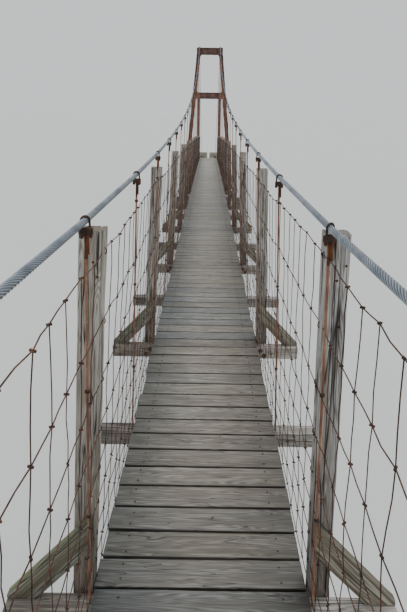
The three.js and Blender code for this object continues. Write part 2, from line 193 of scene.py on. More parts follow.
@dataclass(frozen=True)
class BridgeLine:
    """Lines that the whole bridge follows, in real millimetres; y is measured from mid-span.

    Attributes:
        tower_y: Distance from mid-span to a tower.
        crown_z: Height of the deck's top at mid-span.
        camber: Drop of the deck from mid-span to a tower.
        bays: Hanger bays from mid-span to a tower.
        section_ends: Stations at which the deck's lengths end.
        gap: Clearance between two solids.
        post_top_x: Distance from the middle to the posts' tops, left and right.
        right_slack: How far the right cable hangs out and down from the left one at mid-span.
        backstay_bays: Length of a backstay on the ground, in bays.
    """

    tower_y: float
    crown_z: float
    camber: float
    bays: int = 21
    section_ends: tuple[int, ...] = (-21, -13, -5, 5, 13, 21)
    deck_half: float = 390.0
    plank: float = 32.0
    beam: float = 89.0
    gap: float = 0.6
    post: float = 76.0
    post_foot_x: float = 430.0
    post_height: float = 1310.0
    end_post_height: float = 964.0
    post_top_x: tuple[float, float] = (353.0, 376.0)
    crown_post_top_x: tuple[float, float] = (338.0, 387.0)
    end_post_top_x: tuple[float, float] = (412.0, 424.0)
    cable_low: float = 1346.0
    cable_high: float = 4350.0
    cable_x_low: float = 344.0
    cable_x_high: float = 450.0
    right_slack: tuple[float, float] = (6.0, -10.0)
    backstay_bays: int = 10
    anchor_z: float = 400.0

    @classmethod
    def from_frame(cls) -> "BridgeLine":
        """Reads the bridge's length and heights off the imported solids."""
        low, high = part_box("far_tower_leg_left")
        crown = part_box("deck_planks_3")[1].z
        end_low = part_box("deck_planks_5")[0].z
        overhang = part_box("deck_planks_5")[1].y / MILLIMETRE
        tower_y = (low.y + high.y) / 2 / MILLIMETRE
        drop = (crown - end_low) / MILLIMETRE - cls.plank
        return cls(tower_y, crown / MILLIMETRE, drop * (tower_y / overhang) ** 2)

    @property
    def bay(self) -> float:
        """Distance between two hangers."""
        return self.tower_y / self.bays

    @property
    def backstay_run(self) -> float:
        """Distance from a tower to where its cables end in the anchor blocks."""
        return self.backstay_bays * self.bay

    @property
    def backstay_slope(self) -> float:
        """Angle of a backstay against the level."""
        return math.atan2(self.cable(self.tower_y)[1] - self.anchor_z, self.backstay_run)

    def station_y(self, station: float) -> float:
        """Place of a hanger along the bridge."""
        return station * self.bay

    def deck_top(self, y: float) -> float:
        """Height of the deck's top."""
        return self.crown_z - self.camber * (y / self.tower_y) ** 2

    def beam_top(self, y: float) -> float:
        """Height of a cross beam's top under the planks."""
        return self.deck_top(abs(y) + self.beam / 2) - self.plank - self.gap

    def cable(self, y: float) -> tuple[float, float]:
        """Distance from the middle and height of a main cable between the towers."""
        share = (y / self.tower_y) ** 2
        across = self.cable_x_low + (self.cable_x_high - self.cable_x_low) * share
        return across, self.crown_z + self.cable_low + (self.cable_high - self.cable_low) * share

    def at_crown(self, y: float) -> float:
        """One at mid-span, falling evenly to nought two bays away."""
        return max(0.0, 1.0 - abs(y) / (2 * self.bay))

    def hung_cable(self, side: Side, y: float) -> tuple[float, float]:
        """Place of one main cable: the right one hangs a little slacker at mid-span."""
        x, z = self.cable(y)
        share = self.at_crown(y) if side is Side.RIGHT else 0.0
        return x + self.right_slack[0] * share, z + self.right_slack[1] * share

    def cable_slope(self, y: float) -> float:
        """Angle of a main cable against the level, rising toward +Y."""
        return math.atan2(2 * (self.cable_high - self.cable_low) * y, self.tower_y ** 2)

    def top_of_post(self, y: float) -> float:
        """Height of a side post above the deck: posts grow shorter toward the towers."""
        return self.post_height + (self.end_post_height - self.post_height) * abs(y) / self.tower_y

    def post_x(self, side: Side, y: float, height: float) -> float:
        """Distance from the middle of a post's centre line, at a height above the deck."""
        pick = 0 if side is Side.LEFT else 1
        usual, end = self.post_top_x[pick], self.end_post_top_x[pick]
        top = usual + (end - usual) * abs(y) / self.tower_y
        top += (self.crown_post_top_x[pick] - top) * self.at_crown(y)
        return self.post_foot_x + (top - self.post_foot_x) / self.top_of_post(y) * height

    def sections(self) -> list[tuple[int, int, int]]:
        """Number, first station and last station of each deck length."""
        ends = self.section_ends
        return [(i + 1, ends[i], ends[i + 1]) for i in range(len(ends) - 1)]

    def owned(self, first: int, last: int) -> range:
        """Stations whose cross beam belongs to a deck length."""
        start = first + 1 if first == -self.bays or first > 0 else first
        stop = last - 1 if last == self.bays or last < 0 else last
        return range(start, stop + 1)


def plain_mesh(name: str, points: np.ndarray, edges: list = (), faces: list = (),
               vectors: dict | None = None) -> Mesh:
    """Makes a mesh from points in real millimetres.

    Args:
        name: Name of the mesh.
        points: One row of x, y and z for each vertex.
        edges: Pairs of vertex numbers.
        faces: Rings of vertex numbers.
        vectors: Named vectors for each vertex, in real millimetres too.

    Returns:
        The mesh, in the model's metres.
    """
    mesh = bpy.data.meshes.new(name)
    mesh.from_pydata((np.asarray(points, float) * MILLIMETRE).tolist(), list(edges), list(faces))
    for label, rows in (vectors or {}).items():
        attribute = mesh.attributes.new(label, "FLOAT_VECTOR", "POINT")
        attribute.data.foreach_set("vector", (np.asarray(rows, float) * MILLIMETRE).ravel())
    return mesh


def place_object(name: str, mesh: Mesh) -> Object:
    """Puts a mesh into the scene as an object at the origin."""
    thing = bpy.data.objects.new(name, mesh)
    bpy.context.scene.collection.objects.link(thing)
    return thing


def grow(name: str, base: Mesh, tree: NodeTree, values: dict) -> Object:
    """Runs a geometry tree over a base mesh and keeps the result as a plain mesh.

    Args:
        name: Name of the new piece.
        base: Points or edges that the tree works on.
        tree: Geometry node tree.
        values: Value of each named input.

    Returns:
        The finished object, with no modifier on it.
    """
    holder = place_object(f"{name}_base", base)
    modifier = holder.modifiers.new("grow", "NODES")
    modifier.node_group = tree
    for item in tree.interface.items_tree:
        if item.item_type == "SOCKET" and item.in_out == "INPUT" and item.name in values:
            modifier[item.identifier] = values[item.name]
    graph = bpy.context.evaluated_depsgraph_get()
    mesh = bpy.data.meshes.new_from_object(
        holder.evaluated_get(graph), preserve_all_data_layers=True, depsgraph=graph)
    bpy.data.objects.remove(holder)
    mesh.name = name
    return place_object(name, mesh)


def join(name: str, parts: list[Object]) -> Object:
    """Joins several objects into one, which keeps all their materials."""
    with bpy.context.temp_override(active_object=parts[0], selected_editable_objects=parts):
        bpy.ops.object.join()
    parts[0].name = name
    parts[0].data.name = name
    return parts[0]


def deliver(piece: Object, slot: Slot, *nodes: str, sharp: float = 38.0) -> None:
    """Shades a finished piece, hands it to the frame and logs it.

    Args:
        piece: The object, at the origin.
        slot: Material slot of the record that its finish belongs to; not used.
        *nodes: Names of the solids that it stands for.
        sharp: Angle in degrees over which an edge stays sharp.
    """
    piece.data.shade_smooth()
    piece.data.set_sharp_from_angle(angle=math.radians(sharp))
    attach(piece, BODY)
    if nodes:
        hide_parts(*nodes)
    piece.data.calc_loop_triangles()
    LOG.info("%s: %d triangles", piece.name, len(piece.data.loop_triangles))


def skin(rings: list[list[Point]]) -> Body:
    """Closed body through rings of points that run anticlockwise seen from its far end."""
    n = len(rings[0])
    last = (len(rings) - 1) * n
    faces = [tuple(reversed(range(n))), tuple(last + i for i in range(n))]
    for k in range(len(rings) - 1):
        for i in range(n):
            j = (i + 1) % n
            faces.append((k * n + i, k * n + j, (k + 1) * n + j, (k + 1) * n + i))
    return [point for ring in rings for point in ring], faces


def together(*bodies: Body) -> Body:
    """Several bodies as one list of points and faces."""
    points, faces = [], []
    for more_points, more_faces in bodies:
        start = len(points)
        points += more_points
        faces += [tuple(start + i for i in face) for face in more_faces]
    return points, faces


def turned(profile: tuple[tuple[float, float], ...], sides: int, x: float = 0.0) -> Body:
    """Body turned about an upright line at x, from pairs of radius and height, lowest first."""
    angles = [2 * math.pi * i / sides for i in range(sides)]
    return skin([[(x + r * math.cos(a), r * math.sin(a), z) for a in angles] for r, z in profile])


def block(half_x: float, half_y: float, low: float, high: float, arris: float) -> Body:
    """Block about an upright line, with all its edges cut back by the arris."""
    rings = []
    for z, inset in ((low, arris), (low + arris, 0.0), (high - arris, 0.0), (high, arris)):
        x, y, a = half_x - inset, half_y - inset, arris
        rings.append([(x, a - y, z), (x, y - a, z), (x - a, y, z), (a - x, y, z),
                      (-x, y - a, z), (-x, a - y, z), (a - x, -y, z), (x - a, -y, z)])
    return skin(rings)


def bent_rod(path: list[tuple[float, float]], radius: float, sides: int = 6) -> Body:
    """Round rod bent in the XZ plane along pairs of x and z."""
    rings = []
    for k, (x, z) in enumerate(path):
        (x0, z0), (x1, z1) = path[max(k - 1, 0)], path[min(k + 1, len(path) - 1)]
        length = math.hypot(x1 - x0, z1 - z0)
        over, up = (x1 - x0) / length, (z1 - z0) / length
        ring = []
        for i in range(sides):
            angle = 2 * math.pi * i / sides
            ring.append((x + radius * math.cos(angle) * up, radius * math.sin(angle),
                         z - radius * math.cos(angle) * over))
        rings.append(ring)
    return skin(rings)


def stretched_noise(tree: NodeTree, grain: Source, width: float, length: float,
                    detail: float = 2.0, distortion: float = 0.0) -> Node:
    """Noise drawn out along the grain.

    Args:
        tree: Shader or geometry tree.
        grain: Place in the bar in mm, its third axis along the grain.
        width: Size of the marks across the grain, in mm.
        length: Size of the marks along the grain, in mm.
        detail: Detail of the noise.
        distortion: Distortion of the noise.

    Returns:
        Node with the noise, about one half on average.
    """
    scaled = add(tree, "ShaderNodeVectorMath", {0: grain, 1: (1 / width, 1 / width, 1 / length)},
                 operation="MULTIPLY")
    return add(tree, "ShaderNodeTexNoise", {
        "Vector": scaled, "Scale": 1.0, "Detail": detail, "Roughness": 0.62, "Distortion": distortion})


def drying_checks(tree: NodeTree, grain: Source, width: float = CHECK_WIDTH,
                  length: float = CHECK_LENGTH, reach: float = CHECK_REACH) -> Node:
    """Long thin cracks that wander along the grain and close up now and then.

    Args:
        tree: Shader or geometry tree.
        grain: Place in the bar in mm, its third axis along the grain.
        width: Usual distance between two cracks, in mm.
        length: How far a crack runs before it wanders, in mm.
        reach: Half-width of a crack as a share of the noise.

    Returns:
        Node with one in the middle of a crack and nought beside it.
    """
    cloud = stretched_noise(tree, grain, width, length, 1.0)
    off = add(tree, "ShaderNodeMath", {0: cloud, 1: 0.5}, operation="SUBTRACT")
    off = add(tree, "ShaderNodeMath", {0: off}, operation="ABSOLUTE")
    opened = stretched_noise(tree, grain, width * 2.5, length * 0.7, 0.0)
    limit = add(tree, "ShaderNodeMapRange", {
        "Value": opened, "From Min": 0.4, "From Max": 0.6, "To Min": 0.0004, "To Max": reach})
    return add(tree, "ShaderNodeMapRange", {
        "Value": off, "From Max": limit, "To Min": 1.0, "To Max": 0.0})


def even_lines(tree: NodeTree, reach: Source, rate: float) -> Node:
    """Lines at even steps of a reach, as growth rings are.

    Args:
        tree: Node tree of a material.
        reach: What the lines are spaced by.
        rate: Turns of the wave, in radians for one of the reach.

    Returns:
        Node with one in the middle of a line and nought between two.
    """
    wave = add(tree, "ShaderNodeMath", {0: reach, 1: rate}, operation="MULTIPLY")
    wave = add(tree, "ShaderNodeMath", {0: wave}, operation="SINE")
    return add(tree, "ShaderNodeMapRange", {"Value": wave, "From Min": -1.0, "From Max": 1.0})


def covered(tree: NodeTree, under: Source, layers: tuple) -> Source:
    """Lays colours over a colour, one after another.

    Args:
        tree: Node tree of a material.
        under: Colour that lies under them all.
        layers: Cover and colour of each layer, lowest first.

    Returns:
        The colour that shows.
    """
    for cover, colour in layers:
        under = add(tree, "ShaderNodeMix", {"Factor": cover, "A": under, "B": colour}, data_type="RGBA")
    return under


def moss_cover(tree: NodeTree, broken: Source, low: float, high: float,
               thickest: float) -> Node:
    """Cover of thin moss, which lies on faces that look up.

    Args:
        tree: Node tree of a material.
        broken: Noise that breaks the moss up.
        low: Noise at which moss begins on a level face.
        high: Noise at which it is thickest.
        thickest: Cover of the thickest moss.

    Returns:
        Node with the cover.
    """
    normal = add(tree, "ShaderNodeNewGeometry").outputs["Normal"]
    up = add(tree, "ShaderNodeSeparateXYZ", {0: normal}).outputs["Z"]
    cover = add(tree, "ShaderNodeMath", {0: up, 1: broken}, operation="MULTIPLY")
    return add(tree, "ShaderNodeMapRange", {
        "Value": cover, "From Min": low, "From Max": high, "To Max": thickest})


@dataclass(frozen=True)
class WeatheredTimber:
    """Sawn softwood, unpainted for years: silver-grey, furrowed along the grain, with dark checks.

    Grey lignin-bleached fibre over brown wood, matt, with a soft shine on worn faces.

    Attributes:
        check: Inside of a drying crack.
        band: Brown bands of the wood under the grey.
        end_ring_rate: Radians for a millimetre, which sets the rings of a sawn end 5 mm apart.
        fibre: Width of a bundle of fibres, in mm, drawn coarse enough to show.
        patch: Width and length of a blotch, in mm.
        ring_rate: Radians for the whole range of the noise that the rings follow.
        tint_rate: What a bar's tone is multiplied by to pick its tint.
        wear: Tint along the bar, from its start to its end.
        bleach: Tint by distance from mid-span, as a share of bleach_reach: painted sheen of glancing sky
            light, together with chance differences between boards.
        damp_below: Height in the bar's section under which its sides are darker, as damp wood and as painted
            shade in the narrow gaps between boards, in real mm.
    """

    name: str
    pale: str
    middle: str
    dark: str
    check: str
    band: str
    end_pale: str = "8b8477"
    end_dark: str = "4d453a"
    end_ring_rate: float = 1.25
    fibre: float = 5.0
    streak: float = 26.0
    patch: tuple[float, float] = (120.0, 260.0)
    streak_share: float = 0.45
    ring_share: float = 0.16
    ring_rate: float = 90.0
    check_width: float = CHECK_WIDTH
    check_length: float = CHECK_LENGTH
    check_reach: float = CHECK_REACH
    roughness: float = 0.72
    tone_spread: float = 0.22
    tint_rate: float = 7.31
    relief: float = 0.8
    groove: float = 2.5
    wear: Ramp = ((0.0, "ffffff"), (1.0, "ffffff"))
    tints: Ramp = ((0.0, "ffffff"), (1.0, "ffffff"))
    bleach: Ramp = ()
    bleach_reach: float = 20000.0
    damp_below: float | None = None
    damp_fade: float = 4.0
    damp_shade: float = 0.4
    moss: str = ""

    def material(self) -> Material:
        """Builds the node material; its pattern reads the piece's own grain attribute, in mm."""
        made, tree, shader = blank_material(self.name)
        grain, place = (add(tree, "ShaderNodeAttribute", attribute_name=label).outputs["Vector"]
                        for label in ("grain", "place"))
        tone, end = (add(tree, "ShaderNodeAttribute", attribute_name=label).outputs["Fac"]
                     for label in ("tone", "end"))
        fibre = stretched_noise(tree, grain, self.fibre, self.fibre * 34, 4.0)
        streak = stretched_noise(tree, grain, self.streak, self.streak * 22, 3.0, 0.4)
        check = drying_checks(tree, grain, self.check_width, self.check_length, self.check_reach)
        wood = covered(tree, self.sawn_face(tree, grain, fibre, streak), (
            (check, linear(self.check)), (end, self.sawn_end(tree, grain))))
        wood = self.weathered(tree, wood, tone, place)
        height = add(tree, "ShaderNodeMath", {0: fibre, 1: check}, operation="SUBTRACT")
        bump = add(tree, "ShaderNodeBump", {
            "Strength": self.relief, "Distance": real(self.groove), "Height": height})
        rough = add(tree, "ShaderNodeMapRange", {
            "Value": streak, "To Min": self.roughness - 0.12, "To Max": self.roughness + 0.14})
        plug(tree, shader, {"Base Color": wood, "Normal": bump, "Roughness": rough})
        return made

    def sawn_face(self, tree: NodeTree, grain: Source, fibre: Source,
                  streak: Source) -> Source:
        """Colour of a bar's long faces: fibres, growth rings, brown bands, blotches and moss.

        Args:
            tree: Node tree of the material.
            grain: Place in the bar in mm.
            fibre: Noise of the fibres.
            streak: Noise of the streaks.

        Returns:
            The colour, before checks and weather.
        """
        bands = stretched_noise(tree, grain, self.streak * 1.5, self.streak * 34, 2.0, 0.3)
        rings = stretched_noise(tree, grain, self.streak * 2.6, self.streak * 40, 1.0, 0.3)
        patch = stretched_noise(tree, grain, *self.patch, 3.0)
        blend = fibre
        for share, other in ((self.streak_share, streak),
                             (self.ring_share, even_lines(tree, rings, self.ring_rate))):
            blend = add(tree, "ShaderNodeMix", {"Factor": share, "A": blend, "B": other},
                        data_type="FLOAT")
        wood = add(tree, "ShaderNodeValToRGB", {0: blend}, stops=(
            (0.36, self.dark), (0.49, self.middle), (0.62, self.pale)))
        brown = add(tree, "ShaderNodeMapRange", {
            "Value": bands, "From Min": 0.46, "From Max": 0.62, "To Max": 0.75})
        wood = covered(tree, wood, ((brown, linear(self.band)),))
        blotch = add(tree, "ShaderNodeMapRange", {
            "Value": patch, "From Min": 0.35, "From Max": 0.65, "To Min": 0.84, "To Max": 1.12})
        wood = add(tree, "ShaderNodeVectorMath", {0: wood, "Scale": blotch}, operation="SCALE")
        if self.moss:
            cover = moss_cover(tree, patch, 0.2, 0.45, 0.85)
            wood = covered(tree, wood, ((cover, linear(self.moss)),))
        return wood

    def sawn_end(self, tree: NodeTree, grain: Source) -> Node:
        """Colour of a sawn end: growth rings about 5 mm apart.

        Args:
            tree: Node tree of the material.
            grain: Place in the bar in mm.

        Returns:
            Node with the colour.
        """
        flat = add(tree, "ShaderNodeVectorMath", {0: grain, 1: (1.0, 1.0, 0.0)}, operation="MULTIPLY")
        reach = add(tree, "ShaderNodeVectorMath", {0: flat}, operation="LENGTH")
        rings = even_lines(tree, reach, self.end_ring_rate)
        return add(tree, "ShaderNodeValToRGB", {0: rings}, stops=(
            (0.0, self.end_dark), (0.55, self.end_pale)))

    def weathered(self, tree: NodeTree, wood: Source, tone: Source,
                  place: Source) -> Node:
        """Sets one bar off from another, tints it, wears it along its length and darkens its sides, as damp
        wood and as painted shade in the gaps.

        Args:
            tree: Node tree of the material.
            wood: Colour of the wood.
            tone: The bar's own random tone.
            place: Place in the bar, its third axis the share of its length.

        Returns:
            Node with the colour.
        """
        _, through, along = add(tree, "ShaderNodeSeparateXYZ", {0: place}).outputs
        level = add(tree, "ShaderNodeMapRange", {
            "Value": tone, "To Min": 1.0 - self.tone_spread, "To Max": 1.0 + self.tone_spread})
        wood = add(tree, "ShaderNodeVectorMath", {0: wood, "Scale": level}, operation="SCALE")
        pick = add(tree, "ShaderNodeMath", {0: tone, 1: self.tint_rate}, operation="MULTIPLY")
        pick = add(tree, "ShaderNodeMath", {0: pick}, operation="FRACT")
        shades = [(pick, self.tints), (along, self.wear)]
        # Painted sheen: paler by distance from mid-span for glancing sky light, together with chance
        # differences between boards
        if self.bleach:
            shades.append((self.from_middle(tree), self.bleach))
        for value, stops in shades:
            tint = add(tree, "ShaderNodeValToRGB", {0: value}, stops=stops)
            wood = add(tree, "ShaderNodeVectorMath", {0: wood, 1: tint}, operation="MULTIPLY")
        # Painted shade: the sides under this height are darker for the shade in the narrow gaps between
        # boards, and for damp wood
        if self.damp_below is not None:
            damp = add(tree, "ShaderNodeMapRange", {
                "Value": through, "From Min": real(self.damp_below),
                "From Max": real(self.damp_below + self.damp_fade), "To Min": self.damp_shade})
            wood = add(tree, "ShaderNodeVectorMath", {0: wood, "Scale": damp}, operation="SCALE")
        return wood

    def from_middle(self, tree: NodeTree) -> Node:
        """Distance from mid-span as a share of the reach of the painted sky sheen."""
        spot = add(tree, "ShaderNodeTexCoord").outputs["Object"]
        y = add(tree, "ShaderNodeSeparateXYZ", {0: spot}).outputs["Y"]
        y = add(tree, "ShaderNodeMath", {0: y}, operation="ABSOLUTE")
        return add(tree, "ShaderNodeMath", {0: y, 1: real(self.bleach_reach)}, operation="DIVIDE")


@dataclass(frozen=True)
class RustedMetal:
    """Bare mild steel left outdoors: matt iron oxide, blotched from dark brown to orange.

    Scale and pits break the surface, and dust from the rust keeps it rough all over.

    Attributes:
        blotch: Size of the blotches, in real mm.
        pit: Size of the pits, in real mm.
        pit_depth: Depth of the pits, in real mm.
    """

    name: str
    dark: str
    middle: str
    bright: str
    blotch: float = 60.0
    pit: float = 5.0
    roughness: float = 0.82
    metallic: float = 0.15
    relief: float = 0.5
    pit_depth: float = 1.0

    def material(self) -> Material:
        """Builds the node material on object coordinates."""
        made, tree, shader = blank_material(self.name)
        place = add(tree, "ShaderNodeTexCoord").outputs["Object"]
        blotch = add(tree, "ShaderNodeTexNoise", {
            "Vector": place, "Scale": 1 / real(self.blotch), "Detail": 5.0, "Roughness": 0.65})
        pits = add(tree, "ShaderNodeTexNoise", {
            "Vector": place, "Scale": 1 / real(self.pit), "Detail": 2.0})
        blend = add(tree, "ShaderNodeMix", {"Factor": 0.3, "A": blotch, "B": pits}, data_type="FLOAT")
        colour = add(tree, "ShaderNodeValToRGB", {0: blend}, stops=(
            (0.36, self.dark), (0.5, self.middle), (0.66, self.bright)))
        rough = add(tree, "ShaderNodeMapRange", {
            "Value": pits, "To Min": self.roughness - 0.1, "To Max": self.roughness + 0.1})
        bump = add(tree, "ShaderNodeBump", {
            "Strength": self.relief, "Distance": real(self.pit_depth), "Height": pits})
        plug(tree, shader, {
            "Base Color": colour, "Roughness": rough, "Normal": bump, "Metallic": self.metallic})
        return made


@dataclass(frozen=True)
class GalvanisedRope:
    """Zinc-coated steel wire rope, oxidised: dull blue-grey, with painted shade in the valleys between
    strands.

    Attributes:
        grime: Size of the dull and rusty places, in real mm.
        wire: Thickness of a single wire, in real mm.
        wire_depth: Depth of the wires' relief, in real mm.
    """

    name: str = "galvanised_wire_rope"
    crest: str = "a8b3bf"
    body: str = "727e8a"
    # Painted shade in the valleys between strands
    valley: str = "2b3238"
    spot: str = "77675a"
    grime: float = 90.0
    wire: float = 2.4
    wire_depth: float = 0.8
    relief: float = 0.35
    roughness: float = 0.4
    metallic: float = 0.45

    def material(self) -> Material:
        """Builds the node material; the strands' valleys come from the rope's own attribute."""
        made, tree, shader = blank_material(self.name)
        place = add(tree, "ShaderNodeTexCoord").outputs["Object"]
        valley = add(tree, "ShaderNodeAttribute", attribute_name="valley").outputs["Fac"]
        grime = add(tree, "ShaderNodeTexNoise", {
            "Vector": place, "Scale": 1 / real(self.grime), "Detail": 4.0})
        wires = add(tree, "ShaderNodeTexNoise", {
            "Vector": place, "Scale": 1 / real(self.wire), "Detail": 1.0})
        zinc = add(tree, "ShaderNodeValToRGB", {0: grime}, stops=((0.35, self.body), (0.65, self.crest)))
        rusty = add(tree, "ShaderNodeMapRange", {
            "Value": grime, "From Min": 0.62, "From Max": 0.75, "To Max": 0.6})
        # The valleys between strands are painted darker: painted shade
        colour = covered(tree, zinc, ((rusty, linear(self.spot)), (valley, linear(self.valley))))
        bump = add(tree, "ShaderNodeBump", {
            "Strength": self.relief, "Distance": real(self.wire_depth), "Height": wires})
        plug(tree, shader, {"Base Color": colour, "Normal": bump, "Metallic": self.metallic,
                            "Roughness": self.roughness})
        return made


@dataclass(frozen=True)
class CastConcrete:
    """Board-cast concrete: pale cement skin, water stains, air holes and a damp dark foot.

    Attributes:
        board: Height of a board of the mould, in real mm.
        cloud: Size of the stains, in real mm.
        sand: Size of the sand grains, in real mm.
        hole_pitch: Usual distance between two air holes, in real mm.
        damp_height: Height up to which the foot is damp, in real mm.
        hole_depth: Depth of the holes and seams, in real mm.
    """

    name: str = "cast_concrete"
    pale: str = "a19c90"
    middle: str = "858075"
    dark: str = "605c52"
    damp: str = "4f4c42"
    moss: str = "565a42"
    board: float = 150.0
    cloud: float = 170.0
    sand: float = 5.0
    hole_pitch: float = 55.0
    damp_height: float = 180.0
    relief: float = 0.5
    hole_depth: float = 1.5
    roughness: float = 0.92

    def material(self) -> Material:
        """Builds the node material on object coordinates."""
        made, tree, shader = blank_material(self.name)
        place = add(tree, "ShaderNodeTexCoord").outputs["Object"]
        height = add(tree, "ShaderNodeSeparateXYZ", {0: place}).outputs["Z"]
        cloud = add(tree, "ShaderNodeTexNoise", {
            "Vector": place, "Scale": 1 / real(self.cloud), "Detail": 6.0, "Roughness": 0.6})
        sand = add(tree, "ShaderNodeTexNoise", {
            "Vector": place, "Scale": 1 / real(self.sand), "Detail": 2.0})
        holes = add(tree, "ShaderNodeTexVoronoi", {"Vector": place, "Scale": 1 / real(self.hole_pitch)})
        hole = add(tree, "ShaderNodeMapRange", {
            "Value": holes, "From Min": 0.07, "From Max": 0.1, "To Min": 1.0, "To Max": 0.0})
        seam = add(tree, "ShaderNodeMath", {0: height, 1: real(self.board)}, operation="DIVIDE")
        seam = add(tree, "ShaderNodeMath", {0: seam, 1: 0.5}, operation="PINGPONG")
        seam = add(tree, "ShaderNodeMapRange", {
            "Value": seam, "From Max": 0.02, "To Min": 1.0, "To Max": 0.0})
        marks = add(tree, "ShaderNodeMath", {0: hole, 1: seam}, operation="MAXIMUM")
        darker = add(tree, "ShaderNodeMath", {0: marks, 1: 0.5}, operation="MULTIPLY")
        damp = add(tree, "ShaderNodeMapRange", {
            "Value": height, "From Max": real(self.damp_height), "To Min": 0.45, "To Max": 0.0})
        skin_colour = add(tree, "ShaderNodeValToRGB", {0: cloud}, stops=(
            (0.33, self.dark), (0.5, self.middle), (0.68, self.pale)))
        colour = covered(tree, skin_colour, (
            (darker, linear(self.dark)), (damp, linear(self.damp)),
            (moss_cover(tree, cloud, 0.3, 0.6, 0.75), linear(self.moss))))
        rise = add(tree, "ShaderNodeMath", {0: sand, 1: marks}, operation="SUBTRACT")
        bump = add(tree, "ShaderNodeBump", {
            "Strength": self.relief, "Distance": real(self.hole_depth), "Height": rise})
        plug(tree, shader, {"Base Color": colour, "Normal": bump, "Roughness": self.roughness})
        return made


